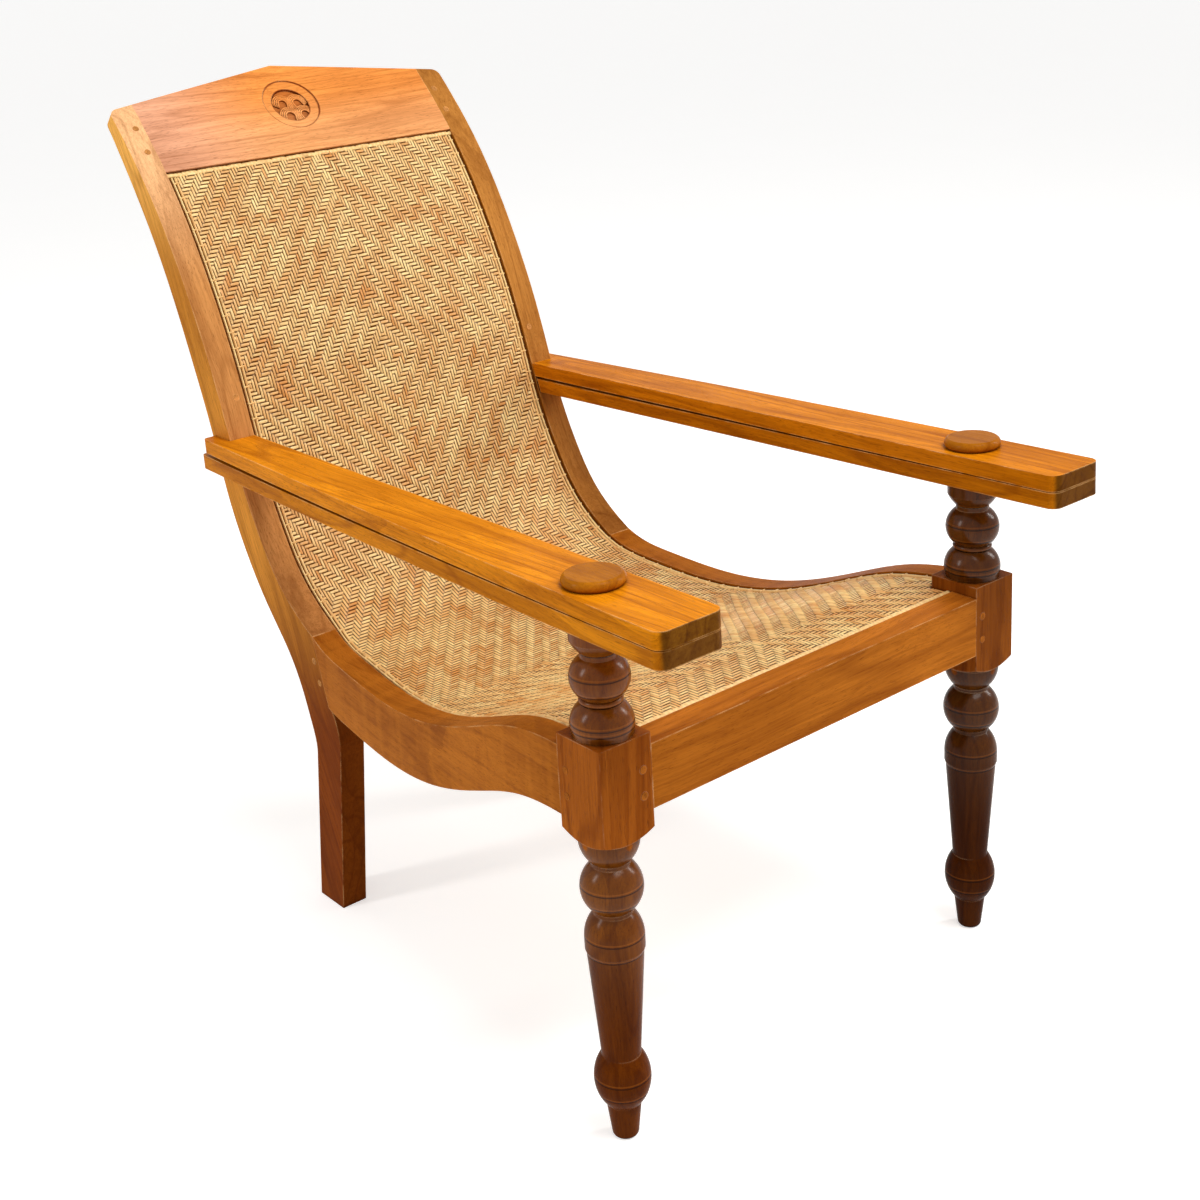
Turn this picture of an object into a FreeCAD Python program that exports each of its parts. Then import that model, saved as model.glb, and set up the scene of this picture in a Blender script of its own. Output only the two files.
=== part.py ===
import FreeCAD, Part
import Sketcher
import math
import os

# Planters chair: a reclining chair with a scooped woven rattan seat in one sweep with its back,
# turned front posts, and flat arms that carry swing-out leg rests on the spigots of the posts.
# Millimetres. +Z is up, the front of the chair faces -Y, the sitter's right hand is at -X.
# The origin lies on the floor under the middle of the whole chair.

Vector = FreeCAD.Vector
Rotation = FreeCAD.Rotation
Placement = FreeCAD.Placement

doc = FreeCAD.newDocument("PlantersChair")
sheet = doc.addObject("Spreadsheet::Sheet", "Sizes")

SIZES = {
    # general arrangement
    "depth": 1139.8,             # front edge of the arms to the back of the crest
    "arm_front_reach": 138,      # front edge of the arms to the axis of the front posts
    "post_spacing": 552,         # between the axes of the front posts
    "stile_spacing": 512,        # over the outer faces of the rear legs
    # turned front legs, from the floor up
    "foot_height": 40,
    "foot_tip_diameter": 28,
    "foot_top_diameter": 36.5,
    "foot_round": 5,
    "foot_bulb_height": 58,
    "foot_bulb_diameter": 59,
    "ankle_height": 3,
    "ankle_diameter": 41,
    "taper_height": 116,
    "taper_top_diameter": 58,
    "collar_height": 18,
    "collar_diameter": 61,
    "shoulder_height": 25,
    "neck_height": 4,
    "neck_diameter": 40,
    "ball_height": 50,
    "cup_height": 27,
    "cup_diameter": 62,
    "pommel_height": 8,
    "block_height": 101,
    "block_side": 64,
    # turned arm posts, from the block up
    "base_ring_height": 3,
    "base_ring_diameter": 61,
    "lower_bulb_height": 30,
    "lower_bulb_diameter": 63.5,
    "bead_height": 6,
    "bead_diameter": 44,
    "upper_bulb_height": 41,
    "upper_bulb_diameter": 60,
    "collet_height": 5,
    "collet_diameter": 37,
    "flare_height": 13,
    "flare_diameter": 56,
    "flare_band_height": 17,
    # arms, leg rests and their pivots
    "board_thickness": 18,
    "board_gap": 1.2,            # between the arm and the leg rest at the pivot
    "thrust_gap": 0.3,           # between the post and the leg rest that turns on it
    "arm_slope": 1.1,            # degrees down to the rear
    "rest_slope": 1.3,           # degrees: the leg rests sag a little more
    "arm_front_width": 79.5,
    "arm_tail_width": 17,        # beside the stile
    "arm_inner_set": 37,         # axis of the post to the inner edge of the arm at the front
    "arm_bow": 5,                # outward bow of the arm's outer edge
    "arm_corner_radius": 12,
    "arm_length": 908,
    "leg_rest_length": 917,
    "tail_radius": 6,
    "spigot_diameter": 26,
    "running_fit": 0.06,         # radial, between the spigot and the leg rest
    "rest_clearance": 3,         # from the leg rest's notch to the stile
    "tail_clearance": 1.5,       # from the leg rest's tail to the stile
    "cap_diameter": 62,
    "cap_height": 11,
    "cap_edge_radius": 4,
    "cap_bore_depth": 6,
    # scoop line: top of the side rails and front of the stiles, seen from the side
    "block_proud": 13,           # block top over the front rail
    "scoop_reach": 1020,         # front face of the blocks to the top of the crest, level
    "seat_dip_depth": 90,        # front rail down to the lowest point
    "back_rise": 577,            # front rail up to the top of the crest
    # frame
    "stile_width": 34,
    "stile_depth": 43,
    "foot_depth": 53,            # rear foot, front to back
    "foot_rear_set": 74,         # foot of the side joint back to the rear of the foot
    "knee_height": 241,
    "knee_front_set": 14,        # foot of the side joint forward to the front of the knee
    "knee_depth": 58,
    "side_rail_depth": 75,
    "side_rail_width": 32,
    "side_joint_lean": 27,       # the foot of the rear joint lies this far before its top
    "front_rail_depth": 69,
    "front_rail_width": 35,
    "crest_height": 147,         # in the middle
    "crest_side_height": 104,    # at the outer faces of the stiles
    "crest_thickness": 20,
    "stile_top_radius": 12,
    "lumbar_set_down": 306,      # along the back, from the crest to the middle of the rail
    "lumbar_depth": 46,
    "lumbar_thickness": 18,
    "lumbar_set": 15,            # behind the front faces of the stiles
    "rear_rail_depth": 56,
    "rear_rail_width": 28,
    "rear_rail_drop": 22,        # scoop line to the top of the rear rail
    "rear_rail_set": 22,         # behind the foot of the side joint
    # joinery
    "tenon_thickness": 11,
    "tenon_length": 28,
    "short_tenon_length": 24,
    "tenon_inset": 8,
    "crest_tenon_thickness": 8,
    "peg_diameter": 8,
    "peg_length": 24,
    "long_peg_length": 30,       # of the pegs that hold the lumbar rail
    "peg_proud": 0.4,
    "peg_pitch": 28,
    "peg_edge": 11,              # from the shoulder of the joint
    "crest_peg_pitch": 38,
    "crest_peg_length": 18,
    "stub_tenon_length": 9,
    # medallion in the crest
    "medallion_diameter": 80.5,
    "medallion_bed_diameter": 54,
    "medallion_height": 78,      # over the lower edge of the crest
    "medallion_edge_depth": 1.6,
    "medallion_dish_depth": 3,   # where the sloping dish meets the bed
    "medallion_bed_depth": 6.2,
    # woven rattan
    "cane_set": 4,               # below the faces of the frame
    "cane_thickness": 4,
    "cane_tuck": 6,              # into the groove of the frame
    "strip_width": 9,
    "strip_thickness": 2.5,
    "cane_clearance": 0.3,       # round the front posts
    "cut_overrun": 60,
}

for row, (alias, value) in enumerate(SIZES.items(), start=1):
    sheet.set(f"A{row}", alias.replace("_", " "))
    sheet.set(f"B{row}", str(value))
    sheet.setAlias(f"B{row}", alias)
doc.recompute()


class Size(float):
    """A number that remembers the sheet formula it comes from."""

    def __new__(cls, value, formula):
        size = float.__new__(cls, value)
        size.formula = formula
        return size

    def combine(self, other, sign, value, swapped=False):
        theirs = other.formula if isinstance(other, Size) else repr(other)
        pair = (theirs, self.formula) if swapped else (self.formula, theirs)
        return Size(value, f"({pair[0]} {sign} {pair[1]})")

    def __add__(self, other):
        return self.combine(other, "+", float(self) + float(other))

    def __radd__(self, other):
        return self.combine(other, "+", float(other) + float(self), swapped=True)

    def __sub__(self, other):
        return self.combine(other, "-", float(self) - float(other))

    def __rsub__(self, other):
        return self.combine(other, "-", float(other) - float(self), swapped=True)

    def __mul__(self, other):
        return self.combine(other, "*", float(self) * float(other))

    def __rmul__(self, other):
        return self.combine(other, "*", float(other) * float(self), swapped=True)

    def __truediv__(self, other):
        return self.combine(other, "/", float(self) / float(other))

    def __neg__(self):
        return 0 - self


class Sizes:
    """The cells of the sheet by name, as sizes."""

    def __getattr__(self, alias):
        return Size(float(sheet.get(alias)), f"Sizes.{alias}")


s = Sizes()


def bind(thing, prop, size):
    """Gives a property its value and, where it has one, its formula."""
    if isinstance(size, Size):
        thing.setExpression(prop, size.formula)


def place(thing, x=0, y=0, z=0, axis=None, angle=0):
    """Places a piece, each coordinate and the angle bound to the sheet."""
    rotation = Rotation(axis, float(angle)) if axis else Rotation()
    thing.Placement = Placement(Vector(float(x), float(y), float(z)), rotation)
    for name, size in (("x", x), ("y", y), ("z", z)):
        bind(thing, f"Placement.Base.{name}", size)
    if axis:
        bind(thing, "Placement.Rotation.Angle", angle)


FUZZ = 1e-6
NEAR = 1e-3


def sine(angle):
    return Size(math.sin(math.radians(angle)), f"sin({angle.formula} * 1 deg)")


def cosine(angle):
    return Size(math.cos(math.radians(angle)), f"cos({angle.formula} * 1 deg)")


# sketches and features

def new_sketch(body, name, plane, lift=0):
    """A sketch on one of the body's own planes, lifted along its normal."""
    sketch = body.newObject("Sketcher::SketchObject", name)
    planes = [feature for feature in body.Origin.OriginFeatures if feature.Role == plane]
    sketch.AttachmentSupport = [(planes[0], "")]
    sketch.MapMode = "FlatFace"
    sketch.AttachmentOffset = Placement(Vector(0, 0, float(lift)), Rotation())
    bind(sketch, "AttachmentOffset.Base.z", lift)
    return sketch


def pin(sketch, edge, end, spot):
    """Fixes one end of an edge at a spot given in sizes."""
    for kind, size in (("DistanceX", spot[0]), ("DistanceY", spot[1])):
        number = sketch.addConstraint(Sketcher.Constraint(kind, edge, end, float(size)))
        bind(sketch, f"Constraints[{number}]", size)


def draw(sketch, *steps):
    """Draws a closed outline. A step is a corner, or an arc as (a spot it passes, its end)."""
    corners = [step[1] if isinstance(step[0], tuple) else step for step in steps]
    ends = []
    for number, step in enumerate(steps):
        start = Vector(*[float(size) for size in corners[number - 1]])
        finish = Vector(*[float(size) for size in corners[number]])
        if isinstance(step[0], tuple):
            through = Vector(*[float(size) for size in step[0]])
            edge = sketch.addGeometry(Part.Arc(start, through, finish), False)
            mark = sketch.addGeometry(Part.Point(through), True)
            pin(sketch, mark, 1, step[0])
            sketch.addConstraint(Sketcher.Constraint("PointOnObject", mark, 1, edge))
        else:
            edge = sketch.addGeometry(Part.LineSegment(start, finish), False)
        first = 1 if sketch.getPoint(edge, 1).distanceToPoint(start) < FUZZ else 2
        ends.append((edge, first, 3 - first))
        pin(sketch, edge, 3 - first, corners[number])
    for number, (edge, first, last) in enumerate(ends):
        before = ends[number - 1]
        sketch.addConstraint(Sketcher.Constraint("Coincident", before[0], before[2], edge, first))
    return sketch


def new_body(label):
    body = doc.addObject("PartDesign::Body", label)
    body.Label = label
    return body


def pad(body, name, sketch, length):
    feature = body.newObject("PartDesign::Pad", name)
    feature.Profile = sketch
    feature.Length = float(length)
    bind(feature, "Length", length)
    return feature


def turn(body, name, sketch, kind="Revolution"):
    """Turns a sketch a full round about its upright axis."""
    feature = body.newObject(f"PartDesign::{kind}", name)
    feature.Profile = sketch
    feature.ReferenceAxis = (sketch, ["V_Axis"])
    feature.Angle = 360
    return feature


def round_edges(body, name, base, radius, wanted):
    """Rounds the edges of a feature that the test picks."""
    doc.recompute()
    names = [f"Edge{n}" for n, edge in enumerate(base.Shape.Edges, start=1) if wanted(edge)]
    feature = body.newObject("PartDesign::Fillet", name)
    feature.Base = (base, names)
    feature.Radius = float(radius)
    bind(feature, "Radius", radius)
    return feature


def box(name, low, high):
    """A box between two corners given in sizes."""
    thing = doc.addObject("Part::Box", name)
    for prop, lower, upper in zip(("Length", "Width", "Height"), low, high):
        setattr(thing, prop, float(upper - lower))
        bind(thing, prop, upper - lower)
    place(thing, *low)
    return thing


def peg(name, spot, direction, length):
    """A round peg whose head stands a little proud of the face at the spot."""
    thing = doc.addObject("Part::Cylinder", name)
    thing.Radius = float(s.peg_diameter / 2)
    bind(thing, "Radius", s.peg_diameter / 2)
    thing.Height = float(length + s.peg_proud)
    bind(thing, "Height", length + s.peg_proud)
    head = Vector(*[float(size) for size in spot]) - Vector(*direction) * s.peg_proud
    thing.Placement = Placement(head, Rotation(Vector(0, 0, 1), Vector(*direction)))
    return thing


def solid(name, shape):
    """A piece whose form comes from Part's own functions."""
    thing = doc.addObject("Part::Feature", name)
    thing.Shape = shape
    return thing


def join(name, things):
    fused = doc.addObject("Part::MultiFuse", name)
    fused.Shapes = things
    return fused


def carve(label, base, tools):
    """The finished piece: the base less what is let into it."""
    piece = doc.addObject("Part::Cut", label)
    piece.Base = base
    piece.Tool = join(f"{label}_cuts", tools) if len(tools) > 1 else tools[0]
    piece.Label = label
    return piece


def group(label, things):
    pieces = doc.addObject("Part::Compound", label)
    pieces.Links = things
    pieces.Label = label
    return pieces


# levels and faces that several pieces share

SIDES = (("right", -1), ("left", 1))
half_block = s.block_side / 2
post_x = s.post_spacing / 2
post_y = s.arm_front_reach - s.depth / 2
block_front = post_y - half_block
block_rear = post_y + half_block
block_inner = post_x - half_block
block_outer = post_x + half_block
stile_outer = s.stile_spacing / 2
stile_inner = stile_outer - s.stile_width

foot_top = s.foot_height
foot_bulb_top = foot_top + s.foot_bulb_height
ankle_top = foot_bulb_top + s.ankle_height
taper_top = ankle_top + s.taper_height
collar_top = taper_top + s.collar_height
shoulder_top = collar_top + s.shoulder_height
ball_foot = shoulder_top + s.neck_height
ball_top = ball_foot + s.ball_height
cup_foot = ball_top + s.neck_height
cup_top = cup_foot + s.cup_height
pommel_top = cup_top + s.pommel_height
block_top = pommel_top + s.block_height
ring_top = block_top + s.base_ring_height
lower_bulb_top = ring_top + s.lower_bulb_height
bead_top = lower_bulb_top + s.bead_height
upper_bulb_top = bead_top + s.upper_bulb_height
collet_top = upper_bulb_top + s.collet_height
flare_top = collet_top + s.flare_height
pivot_height = flare_top + s.flare_band_height
seat_height = block_top - s.block_proud


# scoop line

# places along the line, as shares of its reach and of the dip under the front rail
seat_shares = (
    (0.0, 0.0), (0.08, 0.01), (0.139, 0.12), (0.227, 0.49), (0.325, 0.865),
    (0.424, 1.0), (0.522, 0.945), (0.58, 0.84), (0.62, 0.615), (0.664, 0.22),
)
# further up, as shares of its reach and of the rise over the front rail
back_shares = (
    (0.703, 0.066), (0.73, 0.165), (0.752, 0.281), (0.777, 0.412),
    (0.816, 0.57), (0.879, 0.762), (0.968, 0.9445), (1.0, 1.0),
)
scoop_spots = [
    Vector(0, block_front + share * s.scoop_reach, seat_height - dip * s.seat_dip_depth)
    for share, dip in seat_shares
] + [
    Vector(0, block_front + share * s.scoop_reach, seat_height + rise * s.back_rise)
    for share, rise in back_shares
]
scoop = Part.BSplineCurve()
scoop.interpolate(scoop_spots)
scoop_start = scoop.FirstParameter
scoop_end = scoop.LastParameter


def where(reached, low=scoop_start, high=scoop_end):
    """The parameter of the scoop line at which a test turns true."""
    while high - low > FUZZ * FUZZ:
        middle = (low + high) / 2
        if middle in (low, high):
            break
        low, high = (low, middle) if reached(scoop.value(middle)) else (middle, high)
    return (low + high) / 2


def at_reach(y):
    return where(lambda spot: spot.y >= y)


def at_height(z):
    """On the back, where the line climbs."""
    return where(lambda spot: spot.z >= z, low=scoop.parameter(scoop_spots[len(seat_shares) - 1]))


def before_end(length):
    return scoop.toShape().getParameterByLength(scoop.length() - length)


def facing(u):
    """Out of the line towards the sitter."""
    along = Vector(*scoop.tangent(u)[0])
    return Vector(0, -along.z, along.y)


def off_scoop(u, depth):
    """A spot behind the scoop line, square to it."""
    return scoop.value(u) - facing(u) * depth


SAMPLES = 28


def off_line(depth, low, high):
    """The line that runs at a depth behind the scoop line."""
    if depth == 0:
        return scoop.toShape(low, high)
    curve = Part.BSplineCurve()
    curve.interpolate([off_scoop(low + (high - low) * n / SAMPLES, depth) for n in range(SAMPLES + 1)])
    return curve.toShape()


def line(start, finish):
    return Part.LineSegment(start, finish).toShape()


def side_on(edges, from_x, to_x):
    """Draws a side view out across the chair."""
    face = Part.Face(Part.Wire(Part.__sortEdges__(edges)))
    face.translate(Vector(from_x, 0, 0))
    return face.extrude(Vector(to_x - from_x, 0, 0))


def plan(spots, low, high):
    """Raises a plan outline between two levels."""
    corners = [Vector(x, y, low) for x, y in spots]
    return Part.Face(Part.makePolygon(corners + corners[:1])).extrude(Vector(0, 0, high - low))


def band(front_depth, rear_depth, low, high, half_width):
    """A strip of even thickness that follows the scoop line."""
    front = off_line(front_depth, low, high)
    rear = off_line(rear_depth, low, high)
    ends = [
        line(off_scoop(low, front_depth), off_scoop(low, rear_depth)),
        line(off_scoop(high, front_depth), off_scoop(high, rear_depth)),
    ]
    return side_on([front, rear] + ends, -half_width, half_width)


# place of the joint between side rail and rear leg, as a share of the scoop's reach
side_joint_share = 0.599
joint_top = at_reach(block_front + side_joint_share * s.scoop_reach)
joint_top_spot = scoop.value(joint_top)
joint_foot_y = joint_top_spot.y - s.side_joint_lean
joint_foot_spot = scoop.value(at_reach(joint_foot_y)) - Vector(0, 0, s.side_rail_depth)
crest_foot = before_end(s.crest_height)
lumbar = before_end(s.crest_height + s.lumbar_set_down)


# the side rails draw in from the blocks to the rear legs, and meet both flush
rail_front_inner = block_outer - s.side_rail_width


def frame_at(u):
    """A frame on the scoop line: X across, Y up along it, Z out towards the sitter."""
    along = Vector(*scoop.tangent(u)[0])
    return Placement(scoop.value(u), Rotation(Vector(1, 0, 0), along, facing(u), "XYZ"))


def block_on(frame, low, high):
    """A block between two corners in a frame."""
    size = [b - a for a, b in zip(low, high)]
    block = Part.makeBox(*size, Vector(*low))
    block.Placement = frame
    return block


def span(side, near, far):
    """Two distances from the middle of the chair as a range of X on one side."""
    return (near, far) if side > 0 else (-far, -near)


# woven rattan sheet and its border strips

def cane_edge(side, edge_set, y_low=block_front):
    """Plan line that follows the inner faces of one side, a set past them."""
    faces = [
        (rail_front_inner, y_low),
        (rail_front_inner, block_rear),
        (stile_inner, joint_top_spot.y),
        (stile_inner, scoop_spots[-1].y),
    ]
    return [(side * (x + edge_set), y) for x, y in faces]


def between(first, second):
    """All that stands on the plan between two lines."""
    return plan(first + second[::-1], 0, scoop_spots[-1].z)


def post_room():
    """The room that the blocks of the front posts take, with their clearance."""
    rooms = []
    for _, side in SIDES:
        x_low, x_high = span(side, block_inner - s.cane_clearance, block_outer + s.cut_overrun)
        y_high = block_rear + s.cane_clearance
        corner = Vector(x_low, block_front, 0)
        rooms.append(Part.makeBox(x_high - x_low, y_high - block_front, block_top, corner))
    return rooms


cane_start = at_reach(block_front + s.front_rail_width - s.cane_tuck)
cane_end = before_end(s.crest_height - s.cane_tuck)
rattan_rear = s.cane_set + s.cane_thickness


def rattan(front_depth, rear_depth, first, second):
    """A layer of the sling, all the way along it, between two lines on the plan."""
    layer = band(front_depth, rear_depth, cane_start, cane_end, block_outer)
    return layer.common(between(first, second)).cut(post_room())


def border(low, high, first, second):
    """A flat strip on the sheet, between two places along it and two lines on the plan."""
    layer = rattan(s.cane_set - s.strip_thickness, s.cane_set, first, second)
    return layer.common(band(0, rattan_rear, low, high, block_outer))


tucked_edges = (cane_edge(-1, s.cane_tuck), cane_edge(1, s.cane_tuck))
sheet_cut = solid("cane_sheet", rattan(s.cane_set, rattan_rear, *tucked_edges))
sheet_cut.Label = "cane_seat"
strip_end = before_end(s.crest_height + s.strip_width)
strip_start = at_reach(block_front + s.front_rail_width + s.strip_width)
rail_rear = block_front + s.front_rail_width
across = (cane_edge(-1, 0, rail_rear), cane_edge(1, 0, rail_rear))
nodes = [
    sheet_cut,
    solid("cane_border_top", border(strip_end, crest_foot, *across)),
    solid("cane_border_front", border(cane_start, strip_start, *across)),
]
for name, side in SIDES:
    strip = border(strip_start, strip_end, cane_edge(side, 0), cane_edge(side, -s.strip_width))
    nodes.append(solid(f"cane_border_{name}", strip))


# tenons and pegs, which are let into the pieces they hold

def front_tenons(side, name):
    y_mid = block_front + s.front_rail_width / 2
    x_low, x_high = span(side, block_inner - s.tenon_inset, block_inner + s.tenon_length)
    front = box(f"front_rail_tenon_{name}",
                (x_low, y_mid - s.tenon_thickness / 2, seat_height - s.front_rail_depth + s.tenon_inset),
                (x_high, y_mid + s.tenon_thickness / 2, seat_height - s.tenon_inset))
    x_mid = block_outer - s.side_rail_width / 2
    x_low, x_high = span(side, x_mid - s.tenon_thickness / 2, x_mid + s.tenon_thickness / 2)
    rear = box(f"side_rail_tenon_{name}",
               (x_low, block_rear - s.tenon_length, seat_height - s.side_rail_depth + s.tenon_inset),
               (x_high, block_rear + s.tenon_inset, seat_height - s.tenon_inset))
    return front, rear


def leg_tenon(side, name):
    x_mid = stile_outer - s.side_rail_width / 2
    x_low, x_high = span(side, x_mid - s.tenon_thickness / 2, x_mid + s.tenon_thickness / 2)
    y_low = joint_foot_spot.y - s.tenon_inset
    z_low = joint_foot_spot.z + s.tenon_inset
    tenon = Part.makeBox(x_high - x_low, s.side_joint_lean + s.tenon_length,
                         joint_top_spot.z - 2 * s.tenon_inset - z_low, Vector(x_low, y_low, z_low))
    return solid(f"leg_tenon_{name}", tenon)


def crest_tenon(side, name):
    mid = s.crest_thickness / 2
    x_low, x_high = span(side, stile_inner - s.tenon_inset, stile_inner + s.short_tenon_length)
    low = (x_low, s.tenon_inset * 2, -mid - s.crest_tenon_thickness / 2)
    high = (x_high, s.crest_side_height - s.tenon_inset * 2, -mid + s.crest_tenon_thickness / 2)
    return solid(f"crest_tenon_{name}", block_on(crest_frame, low, high))


crest_along = (scoop.value(scoop_end) - scoop.value(crest_foot)).normalize()
crest_out = Vector(0, -crest_along.z, crest_along.y)
crest_frame = Placement(scoop.value(crest_foot), Rotation(Vector(1, 0, 0), crest_along, crest_out, "XYZ"))


def on_crest(x, height):
    """A spot on the front face of the crest or a stile beside it, over the crest's lower edge."""
    spot = scoop.value(before_end(s.crest_height - height))
    return Vector(x, spot.y, spot.z)


peg_mid_height = block_top - s.block_height / 2
peg_levels = (peg_mid_height - s.peg_pitch / 2, peg_mid_height + s.peg_pitch / 2)
joint_along = (joint_top_spot - joint_foot_spot).normalize()
joint_mid = (joint_top_spot + joint_foot_spot) * 0.5
lumbar_mid = s.lumbar_set + s.lumbar_thickness / 2


def post_pegs(side, name):
    pegs = []
    for number, level in enumerate(peg_levels, start=1):
        front = peg(f"front_peg_{name}_{number}", (side * (block_inner + s.peg_edge), block_front, level),
                    (0, 1, 0), s.peg_length)
        rear = peg(f"side_peg_{name}_{number}", (side * block_outer, block_rear - s.peg_edge, level),
                   (-side, 0, 0), s.peg_length)
        pegs += [front, rear]
    return pegs


def leg_pegs(side, name):
    behind = Vector(0, joint_along.z, -joint_along.y) * s.peg_edge
    pegs = []
    for number, way in enumerate((-1, 1), start=1):
        spot = joint_mid + joint_along * (way * s.peg_pitch / 2) + behind
        pegs.append(peg(f"leg_peg_{name}_{number}", (side * stile_outer, spot.y, spot.z),
                        (-side, 0, 0), s.peg_length))
    return pegs


def crest_pegs(side, name):
    pegs = []
    for number, way in enumerate((-1, 1), start=1):
        height = s.crest_side_height / 2 + way * s.crest_peg_pitch / 2
        spot = on_crest(side * (stile_inner + s.peg_edge), height)
        inward = facing(before_end(s.crest_height - height)) * -1
        pegs.append(peg(f"crest_peg_{name}_{number}", spot, inward, s.crest_peg_length))
    return pegs


def lumbar_peg(side, name):
    spot = scoop.value(lumbar)
    return [peg(f"lumbar_peg_{name}", (side * (stile_inner + s.peg_edge), spot.y, spot.z),
                facing(lumbar) * -1, s.long_peg_length)]


# cross rails

def lumbar_rail():
    frame = frame_at(lumbar)
    half = s.lumbar_depth / 2
    rail = block_on(frame, (-stile_inner, -half, -s.lumbar_set - s.lumbar_thickness),
                    (stile_inner, half, -s.lumbar_set))
    long_half = stile_inner + s.short_tenon_length
    tenon_half = half - s.tenon_inset
    thin = s.crest_tenon_thickness / 2
    tenons = block_on(frame, (-long_half, -tenon_half, -lumbar_mid - thin),
                      (long_half, tenon_half, -lumbar_mid + thin))
    return rail.fuse(tenons).removeSplitter()


def rear_rail():
    y_low = joint_foot_spot.y + s.rear_rail_set
    y_high = y_low + s.rear_rail_width
    z_high = scoop.value(at_reach(y_low)).z - s.rear_rail_drop
    z_low = z_high - s.rear_rail_depth
    rail = Part.makeBox(stile_inner * 2, y_high - y_low, z_high - z_low,
                        Vector(-stile_inner, y_low, z_low))
    half = stile_inner + s.stub_tenon_length
    inset = s.tenon_inset
    tenons = Part.makeBox(half * 2, y_high - y_low - inset * 2, z_high - z_low - inset * 2,
                          Vector(-half, y_low + inset, z_low + inset))
    return rail.fuse(tenons).removeSplitter()


def roof_waste():
    """All that lies over the low gable of the crest and the tops of the stiles."""
    half = stile_outer + s.cut_overrun
    fall = (s.crest_height - s.crest_side_height) / stile_outer
    eaves = s.crest_height - fall * half
    over = s.crest_height + s.cut_overrun
    spots = [(-half, eaves), (0, s.crest_height), (half, eaves), (half, over), (-half, over)]
    corners = [Vector(x, y, -s.cut_overrun) for x, y in spots]
    waste = Part.Face(Part.makePolygon(corners + corners[:1])).extrude(Vector(0, 0, s.cut_overrun * 2))
    waste.Placement = crest_frame
    return waste


def crest_rail():
    rail = band(0, s.crest_thickness, crest_foot, scoop_end, stile_inner).cut(roof_waste())
    rim = s.medallion_diameter / 2
    bed = s.medallion_bed_diameter / 2
    section = [
        (0, -s.medallion_bed_depth),
        (bed, -s.medallion_bed_depth),
        (bed, -s.medallion_dish_depth),
        (rim, -s.medallion_edge_depth),
        (rim, s.cut_overrun),
        (0, s.cut_overrun),
    ]
    corners = [Vector(across, 0, out) for across, out in section]
    hollow = Part.Face(Part.makePolygon(corners + corners[:1]))
    hollow = hollow.revolve(Vector(), Vector(0, 0, 1))
    hollow.Placement = frame_at(before_end(s.crest_height - s.medallion_height))
    return rail.cut(hollow)


crest_plain = solid("crest_plain", crest_rail())
lumbar_plain = solid("lumbar_plain", lumbar_rail())
rear_plain = solid("rear_plain", rear_rail())
front_plain = box("front_rail_plain", (-block_inner, block_front, seat_height - s.front_rail_depth),
                  (block_inner, block_front + s.front_rail_width, seat_height))


# side rails

def side_rail(side):
    low = at_reach(block_rear)
    high = at_reach(joint_foot_spot.y)
    drop = Vector(0, 0, -s.side_rail_depth)
    top = scoop.toShape(low, joint_top)
    foot = scoop.toShape(low, high)
    foot.translate(drop)
    ends = [line(scoop.value(low), scoop.value(low) + drop), line(joint_foot_spot, joint_top_spot)]
    shape = side_on([top, foot] + ends, 0, side * (block_outer + s.cut_overrun))
    outer = [(side * block_outer, block_rear), (side * stile_outer, joint_top_spot.y)]
    inner = [(side * rail_front_inner, block_rear), (side * stile_inner, joint_top_spot.y)]
    return shape.common(plan(outer + inner[::-1], 0, block_top))


# rear legs, each sawn in one with its stile

# depth behind the scoop line at its upper places, as shares of the stile's depth
stile_depth_shares = (1.56, 1.19, 1.13, 1.07, 1.0, 1.02, 0.95, 0.81, 0.47, 0.45)
# back of the knee, as shares of the knee's depth and of its height
knee_shares = ((1.0, 0.88), (1.14, 1.06), (1.34, 1.2))
front_knee_shares = (0.25, 0.52)


def rear_leg(side):
    knee_y = joint_foot_spot.y - s.knee_front_set
    foot_rear = Vector(0, joint_foot_spot.y + s.foot_rear_set, 0)
    foot_front = foot_rear - Vector(0, s.foot_depth, 0)
    knee_front = Vector(0, knee_y, s.knee_height)
    back = [Vector(0, knee_y + y * s.knee_depth, z * s.knee_height) for y, z in knee_shares]
    for spot, share in zip(scoop_spots[-len(stile_depth_shares):], stile_depth_shares):
        back.append(off_scoop(scoop.parameter(spot), share * s.stile_depth))
    rise = joint_foot_spot - knee_front
    bend = knee_front + Vector(0, rise.y * front_knee_shares[0], rise.z * front_knee_shares[1])
    rear_edge = Part.BSplineCurve()
    rear_edge.interpolate(Points=back, InitialTangent=(back[0] - foot_rear).normalize(),
                          FinalTangent=(back[-1] - back[-2]).normalize())
    edges = [
        scoop.toShape(joint_top, scoop_end),
        line(scoop.value(scoop_end), back[-1]),
        rear_edge.toShape(),
        line(foot_rear, back[0]),
        line(foot_front, foot_rear),
        line(foot_front, knee_front),
        Part.Arc(knee_front, bend, joint_foot_spot).toShape(),
        line(joint_foot_spot, joint_top_spot),
    ]
    shape = side_on(edges, side * stile_inner, side * stile_outer).cut(roof_waste())
    top = on_crest(side * stile_outer, s.crest_side_height)
    corner = [edge for edge in shape.Edges if is_top_corner(edge, top)]
    return shape.makeFillet(s.stile_top_radius, corner)


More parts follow.
